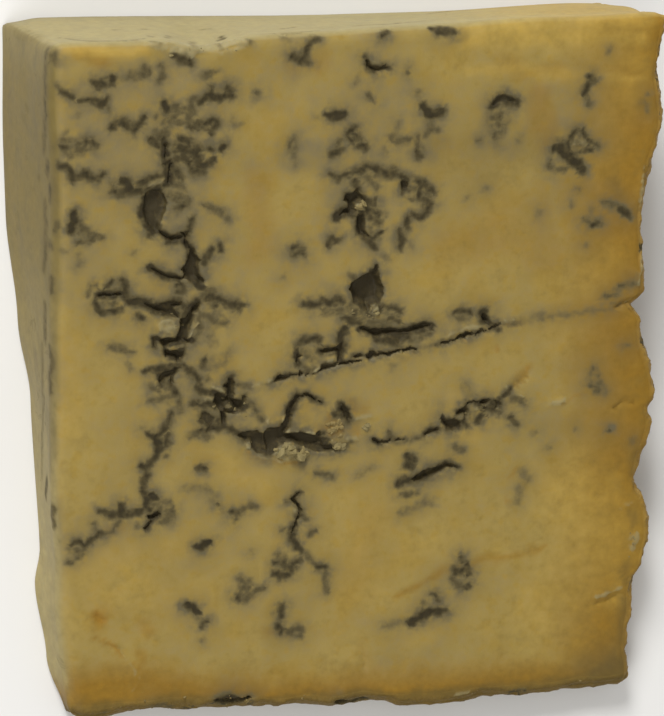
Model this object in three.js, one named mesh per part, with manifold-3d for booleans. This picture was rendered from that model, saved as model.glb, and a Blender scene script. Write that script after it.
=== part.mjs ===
// A wedge of blue cheese, cut from a round wheel and lying on one of its two cut faces.
// Millimetres, +Z up. X runs along the wheel's axis, +Y from the thin tip to the rind.
// The origin is at the middle of the wedge's box, on the surface it lies on.
import * as THREE from "three";
import { ConvexGeometry } from "three/addons/geometries/ConvexGeometry.js";
import { ImprovedNoise } from "three/addons/math/ImprovedNoise.js";
import { mergeVertices } from "three/addons/utils/BufferGeometryUtils.js";
import Module from "manifold-3d";

// The wedge's overall size.
const WIDTH = 102; // across, between the two flat sides of the wheel
const LENGTH = 114; // from the tip to the rind
const TIP_THICK = 5.6; // at the tip, which was cut off short of the wheel's centre
const RIND_THICK = 30.4; // at the rind
const TOP_EDGE = 2.2; // rounding of the edges of the upper cut face
const BASE_EDGE = 0.9; // rounding of the edges that lie on the table

// The outline, as [place, offset] pairs. A side's place is its Y and its offset an X.
const LEFT_TOP = [[56, -51.2], [30, -50.1], [-15, -49.9], [-35, -48.3], [-58, -46.2]];
const LEFT_BASE = [
  [57, -52.4], [37, -53.0], [26, -53.0], [9, -51.6], [-4, -49.9],
  [-29, -49.3], [-35, -50.4], [-47, -48.9], [-58, -45.8],
];
const RIGHT = [
  [56, 51.2], [37, 51.9], [28, 49.6], [22, 49.5], [11.5, 51.0], [9.3, 48.8], [6.6, 50.8],
  [-6.9, 54.0], [-8.5, 52.7], [-11.3, 53.5], [-20, 51.7], [-29, 54.2], [-36, 53.5],
  [-38, 52.1], [-50, 51.4], [-55, 52.2],
];
// An end's place is its X and its offset a Y.
const TIP = [[-46, -56.6], [-26, -56.4], [-12, -57.7], [4, -58.6], [22, -59.2], [50, -58.9]];
const RIND_TOP = [
  [-51, 54.0], [-33, 54.2], [-26, 52.6], [-18, 54.3], [-11, 54.6], [31, 55.8], [52, 55.9],
];
const RIND_BASE = [[-52, 57.2], [-46, 57.9], [4, 57.0], [20, 57.0], [45, 57.7], [52, 57.5]];

// How far the skin stands in and out, and the size of its lumps, on each kind of face.
const CUT_FACE = { height: 0.35, lump: 17 };
const BROKEN_SIDE = { height: 0.9, lump: 7 };
const SMOOTH_SIDE = { height: 0.3, lump: 13 };

// Steps of the skin's grid.
const STEPS_ACROSS = 32;
const STEPS_ALONG = 36;
const STEPS_THICK = 5;
const EDGE_STEP = 0.45; // where the extra grid line in an edge's rounding lies, as its share
const BASE_BAND = 0.07; // the base edge's rounding, as a share of the thickness
const TOP_BAND = 0.12; // the top edge's rounding, as a share of the thickness
const FACE_NOISE_Z = 5; // the slice of the noise that the upper cut face is lumpy by

// Cracks and hollows in the upper face: where each runs, and its greatest width and depth.
const CRACKS = {
  upperSeam: {
    wide: 2.0,
    deep: 3.2,
    path: [
      [-31.4, 38.6], [-28.6, 35.6], [-32.4, 33.2], [-35.7, 27.8], [-33.7, 24.3], [-29.2, 22.7],
      [-27.6, 17.1], [-27.1, 11.9],
    ],
  },
  lowerSeam: {
    wide: 1.7,
    deep: 2.8,
    path: [
      [-27.1, 11.9], [-29.6, 6.8], [-31.4, 4.0], [-32.1, 1.1], [-29.4, -3.2], [-32.6, -8.3],
      [-31.2, -11.0], [-35.4, -14.2], [-34.8, -18.4], [-33.2, -22.0],
    ],
  },
  teardrop: { wide: 5.4, deep: 4.2, path: [[3.2, 16.6], [2.4, 13.6], [1.4, 11.8]] },
  ledge: { wide: 2.0, deep: 1.8, path: [[0.4, 6.6], [3.7, 5.0], [8.6, 6.2], [12.6, 6.0]] },
  longCrack: {
    wide: 1.1,
    deep: 3.0,
    path: [
      [-16.9, -2.1], [-11.4, -0.5], [-4.1, 0.6], [-0.1, 1.9], [7.6, 2.9], [15.5, 3.6],
      [23.3, 5.4], [35.2, 7.1], [45.2, 7.7],
    ],
  },
  join: { wide: 1.8, deep: 2.4, path: [[-27.2, 1.1], [-23.2, -2.9], [-19.0, -4.7]] },
  lowerHollow: {
    wide: 3.0,
    deep: 3.8,
    path: [
      [-21.0, -8.4], [-15.3, -10.6], [-12.7, -12.6], [-9.5, -11.3], [-3.6, -12.5], [3.2, -12.1],
      [9.5, -12.5],
    ],
  },
  lowerCrack: {
    wide: 1.4,
    deep: 2.2,
    path: [[9.5, -12.5], [17.0, -10.3], [19.7, -7.7], [24.0, -6.8], [29.5, -2.2]],
  },
  branch: { wide: 1.6, deep: 2.2, path: [[-11.6, -10.6], [-10.1, -4.4], [-5.5, -5.0]] },
  lens: { wide: 1.7, deep: 2.2, path: [[8.0, -19.4], [13.4, -18.6], [19.0, -17.2]] },
};
const PIT_SIDES = 6; // corners round the mouth of a crack
const PIT_ABOVE = 1.5; // how far a crack's cutter stands out of the face
const PIT_WAIST = 0.72; // a crack's width half way down, as a share of its mouth
const CRACK_ENDS = 0.35; // width and depth at a crack's ends, as a share of the greatest
const WELD = 1e-4; // distance under which two corners are one

const wasm = await Module();
wasm.setup();
const noise = new ImprovedNoise();

const lerp = THREE.MathUtils.lerp;
const clamp = THREE.MathUtils.clamp;
const smooth = (t) => t * t * (3 - 2 * t);

// Reads an outline at a place, with soft bends between its points.
function offsetAt(outline, place) {
  const rising = outline[0][0] < outline[1][0] ? outline : [...outline].reverse();
  const after = rising.findIndex(([at]) => at > place);
  if (after === 0) return rising[0][1];
  if (after < 0) return rising[rising.length - 1][1];
  const [from, start] = rising[after - 1];
  const [to, end] = rising[after];
  return lerp(start, end, smooth((place - from) / (to - from)));
}

// The wedge's thickness at a distance from its tip.
const thicknessAt = (along) => lerp(TIP_THICK, RIND_THICK, along / LENGTH);

// Rounds the edges of the plain wedge: a point of its skin goes onto a ball's reach of the core.
function roundEdges(across, along, up) {
  const thick = thicknessAt(along);
  const radius = lerp(BASE_EDGE, TOP_EDGE, up / thick);
  const core = new THREE.Vector3(
    clamp(across, radius, WIDTH - radius),
    clamp(along, radius, LENGTH - radius),
    clamp(up, radius, thick - radius),
  );
  const out = new THREE.Vector3(across, along, up).sub(core);
  return core.addScaledVector(out, radius / out.length());
}

// Lumps of one kind of face, as an offset along X or Y, or of the height of the cut face.
function lumps(kind, x, y, z) {
  return kind.height * noise.noise(x / kind.lump, y / kind.lump, z / kind.lump);
}

// Bends the plain wedge to its outline and roughens it.
function shape(plain) {
  const a = plain.x / WIDTH;
  const b = plain.y / LENGTH;
  const c = plain.z / thicknessAt(plain.y);
  const roughY = lerp(-LENGTH / 2, LENGTH / 2, b);
  const left = lerp(offsetAt(LEFT_BASE, roughY), offsetAt(LEFT_TOP, roughY), c);
  const right = offsetAt(RIGHT, roughY);
  let x = lerp(left, right, a);
  const rind = lerp(offsetAt(RIND_BASE, x), offsetAt(RIND_TOP, x), smooth(c));
  let y = lerp(offsetAt(TIP, x), rind, b);
  const offBase = smooth(clamp(c * 3, 0, 1));
  const z = plain.z + offBase * lumps(CUT_FACE, x, y, FACE_NOISE_Z);
  x += smooth(a) * a * offBase * lumps(BROKEN_SIDE, x, y, z);
  x += smooth(1 - a) * offBase * lumps(SMOOTH_SIDE, x, y, z);
  y += smooth(b) * offBase * lumps(SMOOTH_SIDE, x, y, z);
  y += smooth(1 - b) * (1 - b) * offBase * lumps(BROKEN_SIDE, x, y, z);
  return new THREE.Vector3(x, y, z);
}

// Grid lines along one direction: even steps, with two more in the rounding at each end.
function gridLines(length, steps, firstEdge, lastEdge) {
  const lines = [0, firstEdge * EDGE_STEP];
  for (let i = 0; i <= steps; i++) lines.push(lerp(firstEdge, length - lastEdge, i / steps));
  return [...lines, length - lastEdge * EDGE_STEP, length];
}

// The whole skin before the cracks: a box's grid, rounded and bent, with a plain flat base.
function skinGeometry() {
  const across = gridLines(WIDTH, STEPS_ACROSS, TOP_EDGE, TOP_EDGE);
  const along = gridLines(LENGTH, STEPS_ALONG, TOP_EDGE, TOP_EDGE);
  const up = gridLines(1, STEPS_THICK, BASE_BAND, TOP_BAND);
  const corners = [];
  const point = (i, j, k) => {
    const y = along[j];
    const place = shape(roundEdges(across[i], y, up[k] * thicknessAt(y)));
    return k === 0 ? place.setZ(0) : place;
  };
  // A square of the grid, from its corner and the steps to its two neighbours, seen from outside.
  const square = ([i, j, k], [di, dj, dk], [ei, ej, ek]) => {
    const first = point(i, j, k);
    const second = point(i + di, j + dj, k + dk);
    const third = point(i + di + ei, j + dj + ej, k + dk + ek);
    const fourth = point(i + ei, j + ej, k + ek);
    corners.push(first, second, third, first, third, fourth);
  };
  const [lastI, lastJ, lastK] = [across.length - 1, along.length - 1, up.length - 1];
  for (let i = 0; i < lastI; i++) {
    for (let j = 0; j < lastJ; j++) square([i, j, lastK], [1, 0, 0], [0, 1, 0]);
    for (let k = 0; k < lastK; k++) {
      square([i, 0, k], [1, 0, 0], [0, 0, 1]);
      square([i + 1, lastJ, k], [-1, 0, 0], [0, 0, 1]);
    }
  }
  for (let j = 0; j < lastJ; j++) {
    for (let k = 0; k < lastK; k++) {
      square([0, j + 1, k], [0, -1, 0], [0, 0, 1]);
      square([lastI, j, k], [0, 1, 0], [0, 0, 1]);
    }
  }
  const rim = [];
  for (let i = 0; i < lastI; i++) rim.push(point(i, 0, 0));
  for (let j = 0; j < lastJ; j++) rim.push(point(lastI, j, 0));
  for (let i = lastI; i > 0; i--) rim.push(point(i, lastJ, 0));
  for (let j = lastJ; j > 0; j--) rim.push(point(0, j, 0));
  const seenFromAbove = rim.map((p) => new THREE.Vector2(p.x, p.y));
  for (const [a, b, c] of THREE.ShapeUtils.triangulateShape(seenFromAbove, [])) {
    corners.push(rim[a], rim[c], rim[b]);
  }
  return new THREE.BufferGeometry().setFromPoints(corners);
}

// A closed geometry as a solid for joining and cutting.
function solidOf(geometry) {
  const bare = geometry.clone();
  bare.deleteAttribute("normal");
  bare.deleteAttribute("uv");
  const merged = mergeVertices(bare, WELD);
  const mesh = new wasm.Mesh({
    numProp: 3,
    vertProperties: merged.attributes.position.array,
    triVerts: new Uint32Array(merged.index.array),
  });
  return new wasm.Manifold(mesh);
}

// The solid back as a three.js geometry.
function geometryOf(solid) {
  const { vertProperties, triVerts } = solid.getMesh();
  const geometry = new THREE.BufferGeometry();
  geometry.setAttribute("position", new THREE.BufferAttribute(vertProperties, 3));
  geometry.setIndex(new THREE.BufferAttribute(triVerts, 1));
  geometry.computeVertexNormals();
  return geometry;
}

// The height of the upper cut face.
const faceHeight = (y) => thicknessAt(y + LENGTH / 2);

// One place of a crack: a mouth above the face, a waist half way down and the bottom.
function pit([x, y], width, depth) {
  const top = faceHeight(y);
  const points = [new THREE.Vector3(x, y, top - depth)];
  for (let i = 0; i < PIT_SIDES; i++) {
    const angle = (i / PIT_SIDES) * 2 * Math.PI;
    const [dx, dy] = [Math.cos(angle) * width / 2, Math.sin(angle) * width / 2];
    points.push(new THREE.Vector3(x + dx, y + dy, top + PIT_ABOVE));
    points.push(new THREE.Vector3(x + dx * PIT_WAIST, y + dy * PIT_WAIST, top - depth / 2));
  }
  return points;
}

// A crack's cutter: a hull from each place of its path to the next.
function crackCutter({ path, wide, deep }) {
  const pits = path.map((place, i) => {
    const swell = lerp(CRACK_ENDS, 1, Math.sin((i / (path.length - 1)) * Math.PI));
    return pit(place, wide * swell, deep * swell);
  });
  const hulls = pits.slice(1).map((next, i) => solidOf(new ConvexGeometry([...pits[i], ...next])));
  return hulls.reduce((whole, hull) => whole.add(hull));
}

const cutters = Object.values(CRACKS).map(crackCutter);
const cheese = cutters.reduce((rest, cutter) => rest.subtract(cutter), solidOf(skinGeometry()));
const geometry = geometryOf(cheese);

// The box's middle goes to X = Y = 0, and its base to Z = 0.
geometry.computeBoundingBox();
const middle = geometry.boundingBox.getCenter(new THREE.Vector3());
geometry.translate(-middle.x, -middle.y, -geometry.boundingBox.min.z);

const wedge = new THREE.Mesh(
  geometry,
  new THREE.MeshStandardMaterial({ color: 0xb39c58, roughness: 0.55, metalness: 0 }),
);
wedge.name = "cheese_wedge";

const part = new THREE.Group();
part.add(wedge);
export default part;
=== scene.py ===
"""A wedge of blue cheese, lying on one of its two cut faces.

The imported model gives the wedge's place and size. The wedge here has the same form and a finer skin,
with its mould veins, cracks, stains and broken side. Lengths are in millimetres until a mesh is made.
"""
import math

import bmesh
import bpy
import numpy as np
from mathutils import Matrix, Vector
from mathutils.bvhtree import BVHTree


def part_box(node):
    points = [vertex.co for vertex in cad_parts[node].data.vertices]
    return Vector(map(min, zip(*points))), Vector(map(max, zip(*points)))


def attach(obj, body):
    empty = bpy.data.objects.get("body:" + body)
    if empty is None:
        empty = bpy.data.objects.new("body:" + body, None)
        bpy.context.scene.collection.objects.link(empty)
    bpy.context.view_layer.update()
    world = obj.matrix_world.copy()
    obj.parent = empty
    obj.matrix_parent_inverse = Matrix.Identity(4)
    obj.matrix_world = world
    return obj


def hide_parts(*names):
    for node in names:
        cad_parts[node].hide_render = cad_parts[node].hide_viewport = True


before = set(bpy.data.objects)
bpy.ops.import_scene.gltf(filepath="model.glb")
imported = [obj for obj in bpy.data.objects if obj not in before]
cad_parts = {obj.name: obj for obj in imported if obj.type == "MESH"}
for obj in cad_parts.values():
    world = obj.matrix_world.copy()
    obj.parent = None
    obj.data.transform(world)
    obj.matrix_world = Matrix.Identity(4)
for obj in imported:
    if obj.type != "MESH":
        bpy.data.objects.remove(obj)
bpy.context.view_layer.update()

MM = 0.001


def placed(name, data):
    """A named object of its data, put in the scene."""
    made = bpy.data.objects.new(name, data)
    bpy.context.scene.collection.objects.link(made)
    return made


# -------- the view

DRAWING = (664, 716)  # the size of the drawing in which places on the cheese are given
VIEW_TARGET = np.array([-3.0, 2.0, 14.0])
VIEW_DISTANCE = 600.0
VIEW_LEAN_LEFT = 17.2  # degrees from straight above, towards -X
VIEW_LEAN_BACK = 6.0  # degrees from straight above, towards +Y
VIEW_ROLL = -1.6
SENSOR = 36.0
LENS = 184.6
NEAREST, FARTHEST = 0.01, 20.0  # how near and how far the camera sees, in metres


def view_frame():
    """The camera's place and its right, up and forward directions."""
    lean_left = math.tan(math.radians(VIEW_LEAN_LEFT))
    lean_back = math.tan(math.radians(VIEW_LEAN_BACK))
    back = np.array([-lean_left, lean_back, 1.0])
    back /= np.linalg.norm(back)
    level_right = np.cross(-back, (0, 1, 0))
    level_right /= np.linalg.norm(level_right)
    level_up = np.cross(level_right, -back)
    roll = math.radians(VIEW_ROLL)
    right = level_right * math.cos(roll) + level_up * math.sin(roll)
    up = level_up * math.cos(roll) - level_right * math.sin(roll)
    return VIEW_TARGET + VIEW_DISTANCE * back, right, up, -back


def make_camera():
    place, right, up, forward = view_frame()
    data = bpy.data.cameras.new("camera")
    data.sensor_width = SENSOR
    data.lens = LENS
    data.clip_start = NEAREST
    data.clip_end = FARTHEST
    camera = placed("camera", data)
    turn = Matrix((right, up, -forward)).transposed().to_4x4()
    camera.matrix_world = Matrix.Translation(Vector(place * MM)) @ turn
    bpy.context.scene.camera = camera


def sight_line(across, down):
    """The direction from the camera to a place on the drawing."""
    _, right, up, forward = view_frame()
    focal = LENS / SENSOR * max(DRAWING)
    aside = across - DRAWING[0] / 2
    below = down - DRAWING[1] / 2
    line = forward * focal + right * aside - up * below
    return line / np.linalg.norm(line)


# -------- smooth random lumps

LATTICE = 256  # how many slopes a set of lumps has before it repeats
LUMP_GAIN = 1.6  # brings the noise to about -1 to 1


def smooth(t):
    """A soft step from 0 to 1."""
    t = np.clip(t, 0.0, 1.0)
    return t * t * (3 - 2 * t)


def ramp(low, high, value):
    return smooth((value - low) / (high - low))


class Lumps:
    """Seeded gradient noise, about -1 to 1."""

    def __init__(self, seed):
        draw = np.random.default_rng(seed)
        self.order = np.tile(draw.permutation(LATTICE), 3)
        slopes = draw.normal(size=(LATTICE, 3))
        self.slopes = slopes / np.linalg.norm(slopes, axis=1)[:, None]

    def corner(self, cell, away, step):
        x, y, z = (cell + step).T % LATTICE
        slope = self.slopes[self.order[self.order[self.order[x] + y] + z]]
        return np.einsum("ij,ij->i", slope, away - step)

    def __call__(self, places, size):
        scaled = np.asarray(places) / size
        cell = np.floor(scaled).astype(int)
        away = scaled - cell
        fade = away ** 3 * (away * (away * 6 - 15) + 10)
        value = 0.0
        for step in np.ndindex(2, 2, 2):
            weight = np.prod(np.where(np.array(step) == 1, fade, 1 - fade), axis=1)
            value = value + weight * self.corner(cell, away, np.array(step))
        return value * LUMP_GAIN


def layered(lumps, places, size, layers=3):
    """Lumps with smaller lumps on them."""
    return sum(lumps(places, size / 2 ** n) / 2 ** n for n in range(layers))


def creased(lumps, places, size, layers=3):
    """Sharp crests between rounded hollows, from 0 to about 1."""
    crests = [(1 - np.abs(lumps(places, size / 2 ** n))) / 2 ** n for n in range(layers)]
    return sum(crests) / sum(1 / 2 ** n for n in range(layers))


# -------- the wedge's form

# Millimetres, here and below.
WIDTH = 102.0
LENGTH = 114.0
TIP_THICK = 5.6
RIND_THICK = 30.4
TOP_EDGE = 2.2  # the radius of the rounded edges
BASE_EDGE = 0.9
BASE_SHARPNESS = 3  # the lumps start within a third of the height

# Soft lumps of the form: their height and their size.
FACE_SWELL, FACE_SWELL_SIZE = 0.35, 17
CUT_SWELL, CUT_SWELL_SIZE = 0.25, 13
TORN_SWELL, TORN_SWELL_SIZE = 0.8, 7

# The outline, as (place, offset). A side's place is its Y and its offset an X.
LEFT_TOP = [(-58, -46.2), (-35, -48.3), (-15, -49.9), (30, -50.1), (56, -51.2)]
LEFT_BASE = [
    (-58, -45.8), (-47, -48.9), (-35, -50.4), (-29, -49.3), (-4, -49.9),
    (9, -51.6), (26, -53.0), (37, -53.0), (57, -52.4),
]
RIGHT = [
    (-55, 52.2), (-50, 51.4), (-38, 52.1), (-36, 53.5), (-29, 54.2), (-20, 51.7),
    (-11.3, 53.5), (-8.5, 52.7), (-6.9, 54.0), (6.6, 50.8), (9.3, 48.8), (11.5, 51.0),
    (22, 49.5), (28, 49.6), (37, 51.9), (56, 51.2),
]
# An end's place is its X and its offset a Y.
TIP = [(-46, -56.6), (-26, -56.4), (-12, -57.7), (4, -58.6), (22, -59.2), (50, -58.9)]
RIND_TOP = [
    (-51, 54.0), (-33, 54.2), (-26, 52.6), (-18, 54.3), (-11, 54.6), (31, 55.8), (52, 55.9),
]
RIND_BASE = [(-52, 57.2), (-46, 57.9), (4, 57.0), (20, 57.0), (45, 57.7), (52, 57.5)]

CELL = 0.7  # the skin's squares before the marks are refined
SIDE_ROWS = 26  # rows of squares up a side

form_lumps = Lumps(3)


def offset_at(outline, place):
    """Reads an outline at a place, with soft bends between its points."""
    places, offsets = np.array(outline, float).T
    after = np.clip(np.searchsorted(places, place), 1, len(places) - 1)
    share = (place - places[after - 1]) / (places[after] - places[after - 1])
    return offsets[after - 1] + (offsets[after] - offsets[after - 1]) * smooth(share)


def thickness_at(along):
    return TIP_THICK + (RIND_THICK - TIP_THICK) * along / LENGTH


def round_edges(across, along, up):
    """Puts a point of the plain wedge's skin onto its rounded edges."""
    thick = thickness_at(along)
    radius = BASE_EDGE + (TOP_EDGE - BASE_EDGE) * up / thick
    point = np.stack([across, along, up], 1)
    core = np.stack([
        np.clip(across, radius, WIDTH - radius),
        np.clip(along, radius, LENGTH - radius),
        np.clip(up, radius, thick - radius),
    ], 1)
    out = point - core
    return core + out * (radius / np.linalg.norm(out, axis=1))[:, None]


def wedge_skin(grid):
    """Bends points of the box (0 to WIDTH, 0 to LENGTH, 0 to 1) to the wedge's form."""
    across, along, share = grid.T
    plain = round_edges(across, along, share * thickness_at(along))
    a = plain[:, 0] / WIDTH
    b = plain[:, 1] / LENGTH
    c = plain[:, 2] / thickness_at(plain[:, 1])
    y = (b - 0.5) * LENGTH
    left = offset_at(LEFT_BASE, y) * (1 - c) + offset_at(LEFT_TOP, y) * c
    x = left * (1 - a) + offset_at(RIGHT, y) * a
    high = smooth(c)
    rind = offset_at(RIND_BASE, x) * (1 - high) + offset_at(RIND_TOP, x) * high
    y = offset_at(TIP, x) * (1 - b) + rind * b
    z = plain[:, 2]
    off_base = smooth(c * BASE_SHARPNESS)
    place = np.stack([x, y, z], 1)
    flat_place = np.stack([x, y, 0 * z], 1)
    torn = off_base * TORN_SWELL * form_lumps(place, TORN_SWELL_SIZE)
    cut = off_base * CUT_SWELL * form_lumps(place, CUT_SWELL_SIZE)
    x = x + smooth(a) * a * torn + smooth(1 - a) * cut
    y = y + smooth(b) * cut + smooth(1 - b) * (1 - b) * torn
    z = z + off_base * FACE_SWELL * form_lumps(flat_place, FACE_SWELL_SIZE)
    z = np.where(share <= 0, 0.0, z)
    return np.stack([x, y, z], 1)


def even_lines(length, cell):
    return np.linspace(0, length, round(length / cell) + 1)


def box_grid():
    """Corners and squares of the box's skin; the base is one face."""
    across = even_lines(WIDTH, CELL)
    along = even_lines(LENGTH, CELL)
    up = np.linspace(0, 1, SIDE_ROWS + 1)
    skin = np.zeros((len(across), len(along), len(up)), bool)
    skin[[0, -1]] = True
    skin[:, [0, -1]] = True
    skin[:, :, -1] = True
    number = np.full(skin.shape, -1)
    number[skin] = np.arange(skin.sum())
    i, j, k = np.nonzero(skin)
    corners = np.stack([across[i], along[j], up[k]], 1)

    def squares(sheet):
        return np.stack([sheet[:-1, :-1], sheet[1:, :-1], sheet[1:, 1:], sheet[:-1, 1:]], -1)

    sheets = [
        number[:, :, -1],
        number[:, 0, :],
        number[::-1, -1, :],
        number[0, ::-1, :],
        number[-1, :, :],
    ]
    faces = np.concatenate([squares(sheet).reshape(-1, 4) for sheet in sheets]).tolist()
    rim = [*number[:-1, 0, 0], *number[-1, :-1, 0], *number[:0:-1, -1, 0], *number[0, :0:-1, 0]]
    faces.append([int(corner) for corner in reversed(rim)])
    return corners, faces


grid_corners, grid_faces = box_grid()
plain_skin = wedge_skin(grid_corners)
cad_low, cad_high = (np.array(corner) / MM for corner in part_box("cheese_wedge"))
off_centre = (cad_low + cad_high) / 2 - (plain_skin.min(0) + plain_skin.max(0)) / 2
centring = off_centre * (1, 1, 0)
plain_tree = BVHTree.FromPolygons((plain_skin + centring).tolist(), grid_faces[:-1])


def landing(across, down):
    """Where a place on the drawing lies on the cheese."""
    eye = Vector(view_frame()[0])
    hit = plain_tree.ray_cast(eye, Vector(sight_line(across, down)))[0]
    if hit is None:
        raise ValueError(f"({across}, {down}) is beside the cheese")
    return np.array(hit)


# -------- veins, stains, painted light and shade, and cracks

BLACK, DARK, MID, FAINT = 1.0, 0.8, 0.55, 0.32

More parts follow.
